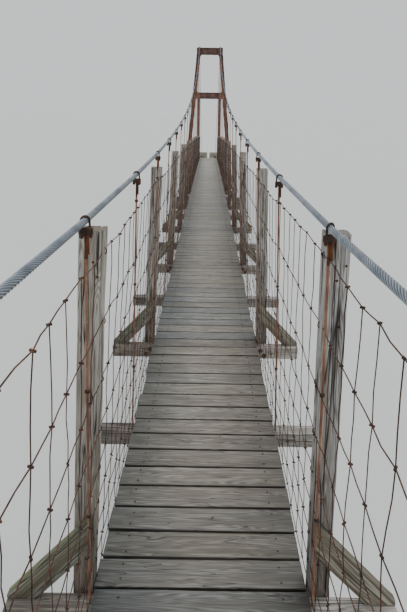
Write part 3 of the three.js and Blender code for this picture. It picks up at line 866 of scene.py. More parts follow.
@dataclass
class GrowthTrees:
    """Geometry node trees that lay bars, fence wire, rope and small fittings.

    Attributes:
        grain_shift: Farthest that a bar's grain pattern is moved from the next one's, in mm.
        tone_seed_step: Step from the seed of the shifts to the seed of the tones.
        furrow_stretch: How many times longer than wide the furrows are.
        warp_size: Distance over which the fence's warp changes, in real mm.
        wave_size: Distance over which its wires' waves change, in real mm.
        knot_turns: Least and largest angles of a knot.
        wire_sides: Sides of a fence wire.
        knot_sides: Sides of a knot.
    """

    grain_shift: float = 9000.0
    tone_seed_step: float = 17.0
    furrow_stretch: float = 25.0
    warp_size: float = 620.0
    wave_size: float = 90.0
    knot_turns: tuple = ((1.2, -0.35, 0.0), (1.9, 0.35, 3.0))
    wire_sides: int = 3
    knot_sides: int = 5

    def __post_init__(self) -> None:
        """Builds the four trees once."""
        self.bars = self.bars_tree()
        self.fence = self.fence_tree()
        self.rope = self.rope_tree()
        self.fittings = self.fittings_tree()

    @staticmethod
    def start(name: str, sockets: dict[str, str]) -> tuple[NodeTree, NodeOutputs]:
        """Opens a tree with its named inputs.

        Args:
            name: Name of the tree.
            sockets: Kind of each named input, by its name.

        Returns:
            The tree and the outputs of its group input node.
        """
        tree = bpy.data.node_groups.new(name, "GeometryNodeTree")
        for label, kind in {"Geometry": "Geometry", **sockets}.items():
            tree.interface.new_socket(label, in_out="INPUT", socket_type=f"NodeSocket{kind}")
        tree.interface.new_socket("Geometry", in_out="OUTPUT", socket_type="NodeSocketGeometry")
        return tree, add(tree, "NodeGroupInput").outputs

    @staticmethod
    def close(tree: NodeTree, geometry: Source, material: Source) -> NodeTree:
        """Ends a tree in Realize Instances and Set Material.

        Args:
            tree: The tree to close.
            geometry: Everything that was made.
            material: Its material.

        Returns:
            The same tree.
        """
        solid = add(tree, "GeometryNodeRealizeInstances", {0: geometry})
        painted = add(tree, "GeometryNodeSetMaterial", {"Geometry": solid, "Material": material})
        add(tree, "NodeGroupOutput", {0: painted})
        return tree

    def bars_tree(self) -> NodeTree:
        """Lays one bar along each base point's run, furrows it and notes its grain in mm."""
        tree, given = self.start("lay_bars", {
            "Bar": "Object", "Across": "Vector", "Across at end": "Vector", "Through": "Vector",
            "Furrow": "Float", "Furrow width": "Float", "Check": "Float", "Seed": "Int",
            "Material": "Material"})
        bar = add(tree, "GeometryNodeObjectInfo", {"Object": given["Bar"]}).outputs["Geometry"]
        laid = add(tree, "GeometryNodeInstanceOnPoints", {"Points": given["Geometry"], "Instance": bar})
        shift = add(tree, "FunctionNodeRandomValue", {
            "Max": (self.grain_shift,) * 3, "Seed": given["Seed"]}, data_type="FLOAT_VECTOR")
        other_seed = add(tree, "ShaderNodeMath", {0: given["Seed"], 1: self.tone_seed_step})
        tone = add(tree, "FunctionNodeRandomValue", {"Seed": other_seed}, data_type="FLOAT")
        for label, value, kind in (("shift", shift, "FLOAT_VECTOR"), ("tone", tone, "FLOAT")):
            laid = add(tree, "GeometryNodeStoreNamedAttribute", {
                "Geometry": laid, "Name": label, "Value": value}, data_type=kind, domain="INSTANCE")
        solid = add(tree, "GeometryNodeRealizeInstances", {0: laid})
        place, run, shift = (add(tree, "GeometryNodeInputNamedAttribute", {"Name": label},
                                 data_type="FLOAT_VECTOR") for label in ("place", "run", "shift"))
        x, y, share = add(tree, "ShaderNodeSeparateXYZ", {0: place}).outputs
        cut = add(tree, "ShaderNodeMix", {
            "Factor": share, "A": given["Across"], "B": given["Across at end"]}, data_type="VECTOR")
        spot = add(tree, "GeometryNodeInputPosition")
        spot = add(tree, "ShaderNodeVectorMath", {0: spot, 1: place}, operation="SUBTRACT")
        for heading, reach in ((run, share), (cut, x), (given["Through"], y)):
            step = add(tree, "ShaderNodeVectorMath", {0: heading, "Scale": reach}, operation="SCALE")
            spot = add(tree, "ShaderNodeVectorMath", {0: spot, 1: step})
        length = add(tree, "ShaderNodeVectorMath", {0: run}, operation="LENGTH")
        reach = add(tree, "ShaderNodeMath", {0: share, 1: length}, operation="MULTIPLY")
        own = add(tree, "ShaderNodeCombineXYZ", {0: x, 1: y, 2: reach})
        grain = add(tree, "ShaderNodeVectorMath", {0: own, "Scale": 1 / MILLIMETRE}, operation="SCALE")
        grain = add(tree, "ShaderNodeVectorMath", {0: grain, 1: shift})
        solid = add(tree, "GeometryNodeStoreNamedAttribute", {
            "Geometry": solid, "Name": "grain", "Value": grain}, data_type="FLOAT_VECTOR", domain="POINT")
        solid = add(tree, "GeometryNodeSetPosition", {"Geometry": solid, "Position": spot})
        normal = add(tree, "GeometryNodeInputNormal")
        heading = add(tree, "ShaderNodeVectorMath", {0: run}, operation="NORMALIZE")
        facing = add(tree, "ShaderNodeVectorMath", {0: normal, 1: heading}, operation="DOT_PRODUCT")
        facing = add(tree, "ShaderNodeMath", {0: facing}, operation="ABSOLUTE")
        is_end = add(tree, "ShaderNodeMath", {0: facing, 1: 0.5}, operation="GREATER_THAN")
        solid = add(tree, "GeometryNodeStoreNamedAttribute", {
            "Geometry": solid, "Name": "end", "Value": is_end}, data_type="FLOAT", domain="FACE")
        depth = self.wood_lost(tree, given)
        push = add(tree, "ShaderNodeVectorMath", {0: normal, "Scale": depth}, operation="SCALE")
        solid = add(tree, "GeometryNodeSetPosition", {"Geometry": solid, "Offset": push})
        return self.close(tree, solid, given["Material"])

    def wood_lost(self, tree: NodeTree, given: NodeOutputs) -> Node:
        """How far a face sinks, in furrows stretched along the grain and in drying cracks.

        Args:
            tree: Geometry tree that stores the grain attribute.
            given: Outputs of its group input node.

        Returns:
            Node with nought or less everywhere, so that bars only lose wood.
        """
        grain = add(tree, "GeometryNodeInputNamedAttribute", {"Name": "grain"}, data_type="FLOAT_VECTOR")
        rate = add(tree, "ShaderNodeMath", {0: 1.0, 1: given["Furrow width"]}, operation="DIVIDE")
        scaled = add(tree, "ShaderNodeVectorMath", {0: grain, "Scale": rate}, operation="SCALE")
        scaled = add(tree, "ShaderNodeVectorMath", {
            0: scaled, 1: (1.0, 1.0, 1 / self.furrow_stretch)}, operation="MULTIPLY")
        noise = add(tree, "ShaderNodeTexNoise", {"Vector": scaled, "Scale": 1.0, "Detail": 2.0})
        furrows = add(tree, "ShaderNodeMapRange", {
            "Value": noise, "From Min": 0.25, "From Max": 0.7, "To Min": -1.0, "To Max": 0.0})
        depth = add(tree, "ShaderNodeMath", {0: furrows, 1: given["Furrow"]}, operation="MULTIPLY")
        cracks = drying_checks(tree, grain)
        sunk = add(tree, "ShaderNodeMath", {0: cracks, 1: given["Check"]}, operation="MULTIPLY")
        return add(tree, "ShaderNodeMath", {0: depth, 1: sunk}, operation="SUBTRACT")

    def fence_tree(self) -> NodeTree:
        """Turns a net of edges into woven wire: line wires, stays and a knot at each crossing."""
        tree, given = self.start("woven_fence", {
            "Line radius": "Float", "Stay radius": "Float", "Kink": "Vector", "Warp": "Vector",
            "Wave": "Float", "Knot radius": "Float", "Knot length": "Float", "Seed": "Int",
            "Material": "Material"})
        low = add(tree, "ShaderNodeVectorMath", {0: given["Kink"], "Scale": -1.0}, operation="SCALE")
        kink = add(tree, "FunctionNodeRandomValue", {
            "Min": low, "Max": given["Kink"], "Seed": given["Seed"]}, data_type="FLOAT_VECTOR")
        warp = self.sway(tree, self.warp_size, given["Warp"])
        kink = add(tree, "ShaderNodeVectorMath", {0: kink, 1: warp})
        net = add(tree, "GeometryNodeSetPosition", {"Geometry": given["Geometry"], "Offset": kink})
        is_stay = add(tree, "GeometryNodeInputNamedAttribute", {"Name": "stay"}, data_type="BOOLEAN")
        is_line = add(tree, "FunctionNodeBooleanMath", {0: is_stay}, operation="NOT")
        wave = add(tree, "ShaderNodeCombineXYZ", {i: given["Wave"] for i in range(3)})
        parts = []
        for chosen, radius, cuts in ((is_line, "Line radius", 1), (is_stay, "Stay radius", 2)):
            curve = add(tree, "GeometryNodeMeshToCurve", {"Mesh": net, "Selection": chosen})
            curve = add(tree, "GeometryNodeSubdivideCurve", {"Curve": curve, "Cuts": cuts})
            curve = add(tree, "GeometryNodeSetPosition", {
                "Geometry": curve, "Offset": self.sway(tree, self.wave_size, wave)})
            section = add(tree, "GeometryNodeCurvePrimitiveCircle", {
                "Resolution": self.wire_sides, "Radius": given[radius]})
            parts.append(add(tree, "GeometryNodeCurveToMesh", {
                "Curve": curve, "Profile Curve": section, "Fill Caps": True}))
        knot = add(tree, "GeometryNodeMeshCylinder", {
            "Vertices": self.knot_sides, "Radius": given["Knot radius"], "Depth": given["Knot length"]})
        least, most = self.knot_turns
        turn = add(tree, "FunctionNodeRandomValue", {
            "Min": least, "Max": most, "Seed": given["Seed"]}, data_type="FLOAT_VECTOR")
        knots = add(tree, "GeometryNodeInstanceOnPoints", {
            "Points": net, "Instance": knot, "Rotation": turn})
        knots = add(tree, "GeometryNodeRealizeInstances", {0: knots})
        parts.append(add(tree, "GeometryNodeSetPosition", {
            "Geometry": knots, "Offset": self.sway(tree, self.wave_size, wave)}))
        joined = add(tree, "GeometryNodeJoinGeometry")
        for part in parts:
            plug(tree, joined, {0: part})
        return self.close(tree, joined, given["Material"])

    @staticmethod
    def sway(tree: NodeTree, size: float, reach: Source) -> Node:
        """Smooth random offset that changes over a distance.

        Args:
            tree: Geometry tree.
            size: Distance in real mm over which the offset changes.
            reach: Largest offset along each axis, both ways together.

        Returns:
            Node with the offset.
        """
        cloud = add(tree, "ShaderNodeTexNoise", {"Scale": 1 / real(size), "Detail": 1.0}).outputs["Color"]
        cloud = add(tree, "ShaderNodeVectorMath", {0: cloud, 1: (0.5, 0.5, 0.5)}, operation="SUBTRACT")
        return add(tree, "ShaderNodeVectorMath", {0: cloud, 1: reach}, operation="MULTIPLY")

    def rope_tree(self) -> NodeTree:
        """Sweeps a lobed section along a path and twists it, so that the lobes are laid strands."""
        tree, given = self.start("laid_rope", {
            "Radius": "Float", "Valley": "Float", "Lay": "Float", "Strands": "Int",
            "Material": "Material"})
        curve = add(tree, "GeometryNodeMeshToCurve", {"Mesh": given["Geometry"]})
        along = add(tree, "GeometryNodeSplineParameter").outputs["Length"]
        turns = add(tree, "ShaderNodeMath", {0: along, 1: given["Lay"]}, operation="DIVIDE")
        tilt = add(tree, "ShaderNodeMath", {0: turns, 1: 2 * math.pi}, operation="MULTIPLY")
        curve = add(tree, "GeometryNodeSetCurveTilt", {"Curve": curve, "Tilt": tilt})
        count = add(tree, "ShaderNodeMath", {0: given["Strands"], 1: 2.0}, operation="MULTIPLY")
        section = add(tree, "GeometryNodeCurvePrimitiveCircle", {
            "Resolution": count, "Radius": given["Radius"]})
        index = add(tree, "GeometryNodeInputIndex")
        odd = add(tree, "ShaderNodeMath", {0: index, 1: 2.0}, operation="MODULO")
        dip = add(tree, "ShaderNodeMath", {0: odd, 1: given["Valley"]}, operation="MULTIPLY")
        shrink = add(tree, "ShaderNodeMath", {0: 1.0, 1: dip}, operation="SUBTRACT")
        spot = add(tree, "GeometryNodeInputPosition")
        spot = add(tree, "ShaderNodeVectorMath", {0: spot, "Scale": shrink}, operation="SCALE")
        section = add(tree, "GeometryNodeStoreNamedAttribute", {
            "Geometry": section, "Name": "valley", "Value": odd}, data_type="FLOAT", domain="POINT")
        section = add(tree, "GeometryNodeSetPosition", {"Geometry": section, "Position": spot})
        rope = add(tree, "GeometryNodeCurveToMesh", {
            "Curve": curve, "Profile Curve": section, "Fill Caps": True})
        return self.close(tree, rope, given["Material"])

    def fittings_tree(self) -> NodeTree:
        """Sets one fitting on each base point, turned by the point's own angles."""
        tree, given = self.start("set_fittings", {"Fitting": "Object", "Material": "Material"})
        fitting = add(tree, "GeometryNodeObjectInfo", {"Object": given["Fitting"]}).outputs["Geometry"]
        turn = add(tree, "GeometryNodeInputNamedAttribute", {"Name": "turn"}, data_type="FLOAT_VECTOR")
        angles = add(tree, "ShaderNodeVectorMath", {0: turn, "Scale": 1 / MILLIMETRE}, operation="SCALE")
        placed = add(tree, "GeometryNodeInstanceOnPoints", {
            "Points": given["Geometry"], "Instance": fitting, "Rotation": angles})
        return self.close(tree, placed, given["Material"])


@dataclass
class Bar:
    """A straight sawn or rolled bar of one section, one unit long, with rounded arrises.

    Attributes:
        width: Size of the section along the bars' across direction.
        depth: Size of the section along the bars' through direction.
        arris: Radius of the rounded corners.
        faces_across: Faces over the width, between the corners.
        faces_through: Faces over the depth, between the corners.
        steps: Lengths that the bar is divided into.
    """

    width: float
    depth: float
    arris: float = 3.0
    faces_across: int = 4
    faces_through: int = 2
    steps: int = 8

    def section(self) -> list[tuple[float, float]]:
        """Points round the section, anticlockwise."""
        x, y, r = self.width / 2 - self.arris, self.depth / 2 - self.arris, self.arris
        points: list[tuple[float, float]] = []
        corners = ((x, y), (-x, y), (-x, -y), (x, -y))
        for i, (cx, cy) in enumerate(corners):
            for step in range(3):
                angle = math.pi / 2 * (i + step / 2)
                points.append((cx + r * math.cos(angle), cy + r * math.sin(angle)))
            tx, ty = corners[(i + 1) % 4]
            angle = math.pi / 2 * (i + 1)
            faces = self.faces_across if i % 2 == 0 else self.faces_through
            for j in range(1, faces):
                share = j / faces
                points.append((cx + (tx - cx) * share + r * math.cos(angle),
                               cy + (ty - cy) * share + r * math.sin(angle)))
        return points

    def object(self) -> Object:
        """Makes the unit bar, kept out of the scene, with each vertex's place in it."""
        unit = 1.0 / MILLIMETRE
        points, faces = skin([[(x, y, unit * k / self.steps) for x, y in self.section()]
                              for k in range(self.steps + 1)])
        mesh = plain_mesh("bar", points, faces=faces, vectors={"place": points})
        return bpy.data.objects.new("bar", mesh)


@dataclass
class BarRow:
    """Bars of one kind on one piece: where each starts and the run to its other end.

    Attributes:
        bar: The bar that is laid.
        across: Direction of a bar's width in the cut at its start.
        through: Direction of a bar's depth.
        across_end: Direction and stretch of the width in the cut at its far end.
        furrow: Depth of the furrows along the grain.
        furrow_width: Width of the furrows.
        check: Depth of the drying cracks.
        starts: Where each bar starts.
        runs: Way from each bar's start to its other end.
    """

    bar: Bar
    across: Point
    through: Point
    across_end: Point | None = None
    furrow: float = 1.0
    furrow_width: float = 9.0
    check: float = 0.0
    starts: list[Point] = field(default_factory=list)
    runs: list[Point] = field(default_factory=list)

    def lay(self, start: Point, end: Point) -> None:
        """Adds a bar between two points."""
        self.starts.append(start)
        self.runs.append(tuple(b - a for a, b in zip(start, end)))

    def grow(self, name: str, tree: NodeTree, material: Material, seed: int) -> Object:
        """Runs the bar tree over the row.

        Args:
            name: Name of the piece.
            tree: The bar tree.
            material: Finish of the bars.
            seed: Seed of the grain's offsets and tones.

        Returns:
            The bars as one object.
        """
        base = plain_mesh(name, self.starts, vectors={"run": self.runs})
        unit_bar = self.bar.object()
        piece = grow(name, base, tree, {
            "Bar": unit_bar, "Across": self.across, "Across at end": self.across_end or self.across,
            "Through": self.through, "Furrow": real(self.furrow), "Furrow width": self.furrow_width,
            "Check": real(self.check), "Seed": seed, "Material": material})
        bpy.data.objects.remove(unit_bar)
        return piece


@dataclass
class FittingRow:
    """Fittings of one shape on one piece.

    Attributes:
        shape: Points and faces of one fitting, in real millimetres.
        spots: Where each fitting sits.
        turns: Angles that turn each fitting, in radians.
    """

    shape: Body
    spots: list[Point] = field(default_factory=list)
    turns: list[Point] = field(default_factory=list)

    def put(self, spot: Point, turn: Point = (0.0, 0.0, 0.0)) -> None:
        """Adds one fitting at a spot."""
        self.spots.append(tuple(spot))
        self.turns.append(turn)

    def grow(self, name: str, tree: NodeTree, material: Material) -> Object:
        """Runs the fittings tree over the row.

        Args:
            name: Name of the piece.
            tree: The fittings tree.
            material: Finish of the fittings.

        Returns:
            The fittings as one object.
        """
        points, faces = self.shape
        model = bpy.data.objects.new(f"{name}_model", plain_mesh(f"{name}_model", points, faces=faces))
        base = plain_mesh(name, self.spots, vectors={"turn": self.turns})
        piece = grow(name, base, tree, {"Fitting": model, "Material": material})
        bpy.data.objects.remove(model)
        return piece


# Which way a bar's width and depth point, by the way that the bar runs
ALONG_X = {"across": (0.0, 1.0, 0.0), "through": (0.0, 0.0, 1.0)}
ALONG_Y = {"across": (0.0, 0.0, 1.0), "through": (1.0, 0.0, 0.0)}
UPRIGHT = {"across": (1.0, 0.0, 0.0), "through": (0.0, 1.0, 0.0)}


class Finishes:
    """Every material of the bridge, made once."""

    def __init__(self) -> None:
        """Builds the materials from the finishes below."""
        # Boards: darker than the posts, and darkest at both ends. Their paleness by distance from mid-span
        # is
        # painted sheen of glancing sky light with chance differences between boards, from measuring:
        # brightness in the photograph over that in a render at ten distances, smoothed
        self.plank = WeatheredTimber(
            "weathered_deck_plank", pale="b6b3ad", middle="88857f", dark="5a5751", check="2a2823",
            band="767064", fibre=3.6, streak=15.0, roughness=0.42, tone_spread=0.22,
            # Sides under 9.5 mm painted darker: shade in the gaps between boards, and damp wood
            check_width=44.0, check_length=500.0, check_reach=0.008, damp_below=9.5,
            wear=((0.0, "9ea6a8"), (0.22, "d6dadc"), (0.42, "ffffff"), (0.65, "f6f5f2"), (1.0, "b2b1ac")),
            tints=((0.0, "d8e0e7"), (0.35, "f4f4f2"), (0.7, "f1ede3"), (1.0, "f0e9e1")),
            bleach=((0.0, "cacaca"), (0.022, "c7c7c7"), (0.045, "e4e4e4"), (0.073, "eeeeee"),
                    (0.104, "fafafa"), (0.15, "e6e6e6"), (0.26, "e6e6e6"), (0.43, "dcdcdc"),
                    (0.615, "e2e2e2"), (0.89, "ffffff"))).material()
        # Posts, beams and stringers: paler than the boards, with deeper checks, and darkest at a
        # bar's start, which is a post's foot
        self.timber = WeatheredTimber(
            "weathered_post_timber", pale="c8c8c6", middle="a3a099", dark="716a62", check="1c1611",
            band="8d857a", fibre=4.5, streak=12.0, relief=1.0,
            wear=((0.0, "a8a29a"), (0.3, "d2cdc7"), (0.6, "f6f4f1")),
            tints=((0.0, "eceff6"), (1.0, "f5f1ea"))).material()
        # The braces' upper faces stay wet, green on the left and brown on the right
        self.brace = WeatheredTimber(
            "mossy_brace_timber", pale="8f9187", middle="66665a", dark="393829", check="1c1913",
            band="524c3a", fibre=6.0, streak=22.0, relief=1.0, moss="4d5228").material()
        self.dark_brace = WeatheredTimber(
            "damp_brace_timber", pale="a6a395", middle="7d7666", dark="463f32", check="1a1611",
            band="655b4a", fibre=6.0, streak=22.0, relief=1.0, moss="2e241b").material()
        self.rope = GalvanisedRope().material()
        self.wire = RustedMetal(
            "rusted_fence_wire", dark="1e1512", middle="3f2a22", bright="6b4532",
            blotch=40.0, pit=3.0).material()
        self.rod = RustedMetal(
            "rusted_hanger_rod", dark="5e3a28", middle="8c5f49", bright="b38c72",
            blotch=140.0, pit=4.0).material()
        self.fitting = RustedMetal(
            "dark_rusted_fitting", dark="1d130e", middle="3d2a20", bright="6a4630",
            blotch=25.0, pit=3.0).material()
        self.rod_top = RustedMetal(
            "wet_rusted_rod_top", dark="2f180c", middle="5b3116", bright="8a5026",
            blotch=40.0, pit=3.0).material()
        self.steel = RustedMetal(
            "rusted_tower_steel", dark="3d2e2a", middle="634b45", bright="8a6a5e",
            blotch=150.0, pit=7.0).material()
        self.concrete = CastConcrete().material()


@dataclass
class BridgePart:
    """What every sub-assembly of the bridge is built from.

    Attributes:
        line: Lines that the bridge follows.
        trees: Geometry trees that lay bars, wire, rope and fittings.
        finishes: Materials.
    """

    line: BridgeLine
    trees: GrowthTrees
    finishes: Finishes


@dataclass
class Deck(BridgePart):
    """The walkway: planks across, cross beams under the hangers and stringers between them.

    Attributes:
        first_gap: Place along the bridge of a gap between two boards.
        fine_faces: Faces over the width, over the thickness and along a fine board.
        board_skew: How far a board's end is off its place along the bridge.
        board_rise: How far it is off its height.
        board_reach: How far it reaches past the deck's edge.
        stringer_drop: Depth of a stringer's centre under the boards.
        nail_spread: Distance of a nail from the middle of its board.
    """

    planks_to_bay: int = 8
    first_gap: float = 38.0
    board_gap: float = 13.0
    board_arris: float = 4.0
    board_furrow: float = 1.8
    fine_reach: float = 3300.0
    fine_faces: tuple[int, int, int] = (14, 2, 30)
    plain_faces: tuple[int, int, int] = (4, 1, 8)
    fine_furrow_width: float = 12.0
    plain_furrow_width: float = 14.0
    board_skew: tuple[float, float] = (-2.6, 2.6)
    board_rise: tuple[float, float] = (-2.2, 0.2)
    board_reach: tuple[float, float] = (-7.0, 2.5)
    beam_half: float = 700.0
    stringer_x: float = 300.0
    stringer: Bar = field(default_factory=lambda: Bar(
        width=84.0, depth=38.0, arris=2.0, faces_across=2, faces_through=1, steps=2))
    stringer_drop: float = 44.0
    nail: Body = turned(((4.6, -1.0), (3.8, 1.5)), 6)
    nail_spread: float = 38.0
    nail_scatter: float = 7.0
    nail_sink: float = 1.2
    seed: int = 21

    def planks(self) -> None:
        """Lays the planks of every deck length, a few millimetres out of true, and nails them."""
        line = self.line
        pitch = line.bay / self.planks_to_bay
        rng = np.random.default_rng(self.seed)
        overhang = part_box("deck_planks_5")[1].y / MILLIMETRE
        for number, first, last in line.sections():
            low = line.station_y(first) if first > -line.bays else -overhang + pitch / 2
            high = line.station_y(last) if last < line.bays else overhang - pitch / 2
            fine, plain = (
                BarRow(Bar(pitch - self.board_gap, line.plank, self.board_arris, *faces), **ALONG_X,
                       furrow=self.board_furrow, furrow_width=furrow_width)
                for faces, furrow_width in ((self.fine_faces, self.fine_furrow_width),
                                            (self.plain_faces, self.plain_furrow_width)))
            nails = FittingRow(self.nail)
            first_board = math.ceil((low - self.first_gap) / pitch - 0.5)
            last_board = math.ceil((high - self.first_gap) / pitch - 0.5) - 1
            for k in range(first_board, last_board + 1):
                y = self.first_gap + (k + 0.5) * pitch
                z = line.deck_top(y) - line.plank / 2
                skew = rng.uniform(*self.board_skew, 2)
                rise = rng.uniform(*self.board_rise, 2)
                reach = line.deck_half + rng.uniform(*self.board_reach, 2)
                row = fine if abs(y) < self.fine_reach else plain
                row.lay((-reach[0], y + skew[0], z + rise[0]), (reach[1], y + skew[1], z + rise[1]))
                for x in (-self.stringer_x, self.stringer_x):
                    for step in (-self.nail_spread, self.nail_spread):
                        dx, dy = rng.uniform(-self.nail_scatter, self.nail_scatter, 2)
                        nails.put((x + dx, y + step + dy, z + line.plank / 2 - self.nail_sink))
            tree, wood = self.trees.bars, self.finishes.plank
            parts = [row.grow(f"boards_{number}", tree, wood, self.seed + number)
                     for row in (fine, plain) if row.starts]
            parts.append(nails.grow(f"nails_{number}", self.trees.fittings, self.finishes.fitting))
            deliver(join(f"plank_row_{number}", parts), Slot.PLANK, f"deck_planks_{number}")

    def timbers(self) -> None:
        """Lays the cross beams and the stringers between them."""
        line = self.line
        for number, first, last in line.sections():
            beam = Bar(line.beam, line.beam, arris=3.0, faces_across=5, faces_through=5, steps=16)
            beams = BarRow(beam, **ALONG_X, furrow=2.0, check=2.0)
            for station in line.owned(first, last):
                y = line.station_y(station)
                z = line.beam_top(y) - line.beam / 2
                beams.lay((-self.beam_half, y, z), (self.beam_half, y, z))
            strings = BarRow(self.stringer, **ALONG_Y, furrow=1.0)
            for bay in range(first, last):
                start = line.station_y(bay) + line.beam / 2 + line.gap
                end = line.station_y(bay + 1) - line.beam / 2 - line.gap
                for x in (-self.stringer_x, self.stringer_x):
                    strings.lay(
                        (x, start, line.deck_top(start) - line.plank - self.stringer_drop),
                        (x, end, line.deck_top(end) - line.plank - self.stringer_drop))
            tree, timber = self.trees.bars, self.finishes.timber
            piece = join(f"deck_timbers_{number}", [
                beams.grow(f"beams_{number}", tree, timber, self.seed + number),
                strings.grow(f"stringers_{number}", tree, timber, self.seed + SEED_STEP + number)])
            deliver(piece, Slot.TIMBER, f"deck_frame_{number}")


@dataclass
class SideFrames(BridgePart):
    """Posts and braces on every second cross beam, and the woven wire between the posts.

    Attributes:
        brace_foot_x: Distance from the middle to the foot of a brace's centre line.
        brace_toe_x: Distance from the middle at which its toe is cut off.
        brace_head_z: Height of its head above the deck.
        fine_stations: Stations from mid-span up to which posts are finely divided.
        fine_faces: Faces over the width, over the depth and along a fine post.
        wire_shares: Height of each line wire, as a share of the posts' height.
        wire_inset: Distance from a post's inner face to the wires' centres.
        fence_short: Distance from a tower at which the wires stop.
        kink: Largest kink of a stay or wire at a crossing, by axis.
        warp: Largest warp of the fence, by axis; its last is turned round on the left side.
        wave: Largest wave of a wire between two crossings.
        knot: Radius and length of a knot.
        bolt_step: Distance of a bolt from the centre of the joint, across and up.
        nail_drops: Distances of the nails from a post's top.
    """

    brace_thickness: float = 36.0
    brace_width: float = 89.0
    brace_foot_x: float = 655.0
    brace_toe_x: float = 700.0
    brace_head_x: float = 392.0
    brace_head_z: float = 247.0
    brace_let_in: float = 2.0
    post_arris: float = 4.0
    fine_stations: int = 2
    fine_faces: tuple[int, int, int] = (18, 18, 60)
    plain_faces: tuple[int, int, int] = (6, 6, 20)
    stay_pitch: float = 152.4
    wire_shares: tuple[float, ...] = (0.948, 0.773, 0.618, 0.482, 0.366, 0.26, 0.163, 0.076, -0.002)
    wire_inset: float = 2.0
    fence_short: float = 70.0
    line_radius: float = 1.9
    stay_radius: float = 1.7
    kink: Point = (3.0, 12.0, 5.0)
    warp: Point = (8.0, 60.0, -45.0)
    wave: float = 14.0
    knot: tuple[float, float] = (3.6, 12.0)
    bolt: Body = together(turned(((17.0, -1.0), (17.0, 3.0)), 10), turned(((12.0, 3.0), (12.0, 11.0)), 6))
    bolt_step: tuple[float, float] = (14.0, 20.0)
    bolt_sink: float = 1.5
    nail: Body = turned(((5.0, -1.0), (4.0, 2.0)), 6)
    nail_drops: tuple[float, ...] = (96.0, 142.0, 290.0)
    nail_scatter: float = 28.0
    nail_sink: float = 2.0
    staple: Body = bent_rod([(-9.0, -5.0), (-9.0, 2.0), (-5.0, 5.0), (5.0, 5.0), (9.0, 2.0), (9.0, -5.0)],
                            radius=1.7, sides=4)
    staple_scatter: float = 16.0
    staple_sink: float = 1.0
    seed: int = 300

    def timbers(self) -> None:
        """Builds posts and braces, one piece for each side of each deck length."""
        for side in Side:
            brace_wood = self.finishes.brace if side is Side.LEFT else self.finishes.dark_brace
            for number, first, last in self.line.sections():
                tree, seed = self.trees.bars, self.seed + number + 10 * side.value
                name = f"{side.label}_{number}"
                parts = [row.grow(f"posts_{name}", tree, self.finishes.timber, seed)
                         for row in self.posts(side, first, last) if row.starts]
                braces = self.braces(side, first, last)
                brace = braces.grow(f"braces_{name}", tree, brace_wood, seed + SEED_STEP)
                self.cut_toes(brace, side)
                parts += [brace, *self.fastenings(side, first, last, name)]
                deliver(join(f"side_timbers_{name}", parts), Slot.TIMBER, f"side_fence_{name}")

    def post_stations(self, first: int, last: int) -> list[int]:
        """Stations of a deck length that carry posts."""
        return [station for station in range(first, last + 1) if station % 2 == 0]

    def post_y(self, station: int) -> float:
        """Place of a post's centre along the bridge, behind its cross beam."""
        line = self.line
        return line.station_y(station) + (line.beam + line.post) / 2 + line.gap

    def posts(self, side: Side, first: int, last: int) -> tuple[BarRow, BarRow]:
        """Stands the posts of one side of a deck length, finer ones at mid-span."""
        line, sign = self.line, side.value
        fine, plain = (
            BarRow(Bar(line.post, line.post, self.post_arris, *faces), **UPRIGHT, furrow=furrow, check=check)
            for faces, furrow, check in ((self.fine_faces, 2.2, 5.0), (self.plain_faces, 2.6, 3.0)))
        for station in self.post_stations(first, last):
            y = line.station_y(station)
            deck, foot_z = line.deck_top(y), line.beam_top(y) - line.beam
            height = line.top_of_post(y)
            row = fine if abs(station) <= self.fine_stations else plain
            row.lay((sign * line.post_x(side, y, foot_z - deck), self.post_y(station), foot_z),
                    (sign * line.post_x(side, y, height), self.post_y(station), deck + height))
        return fine, plain

    def braces(self, side: Side, first: int, last: int) -> BarRow:
        """Leans the braces of one side from the beams' ends to the posts."""
        line, sign = self.line, side.value
        rise = self.brace_head_z + line.plank
        run = self.brace_foot_x - self.brace_head_x
        slope = math.atan2(rise, run)
        plumb = (0.0, 0.0, sign * math.tan(slope))
        brace = Bar(self.brace_width / math.sin(slope), self.brace_thickness + self.brace_let_in,
                    arris=3.0, faces_across=5, faces_through=2, steps=14)
        braces = BarRow(brace, **UPRIGHT, across_end=plumb, furrow=2.0)
        for station in self.post_stations(first, last):
            y = line.station_y(station)
            face = y + line.beam / 2 + line.gap
            brace_y = face + (self.brace_let_in - self.brace_thickness) / 2
            braces.lay((sign * self.brace_foot_x, brace_y, line.beam_top(y) + line.gap),
                       (sign * self.brace_head_x, brace_y, line.deck_top(y) + self.brace_head_z))
        return braces

    def cut_toes(self, braces: Object, side: Side) -> None:
        """Cuts the braces' toes off flush with the beams' ends."""
        work = bmesh.new()
        work.from_mesh(braces.data)
        cut = bmesh.ops.bisect_plane(
            work, geom=[*work.verts, *work.edges, *work.faces], dist=1e-6,
            plane_co=(side.value * real(self.brace_toe_x), 0.0, 0.0),
            plane_no=(side.value, 0.0, 0.0), clear_outer=True)
        rim = [item for item in cut["geom_cut"] if isinstance(item, bmesh.types.BMEdge)]
        bmesh.ops.holes_fill(work, edges=rim, sides=0)
        bmesh.ops.recalc_face_normals(work, faces=work.faces)
        work.to_mesh(braces.data)
        work.free()

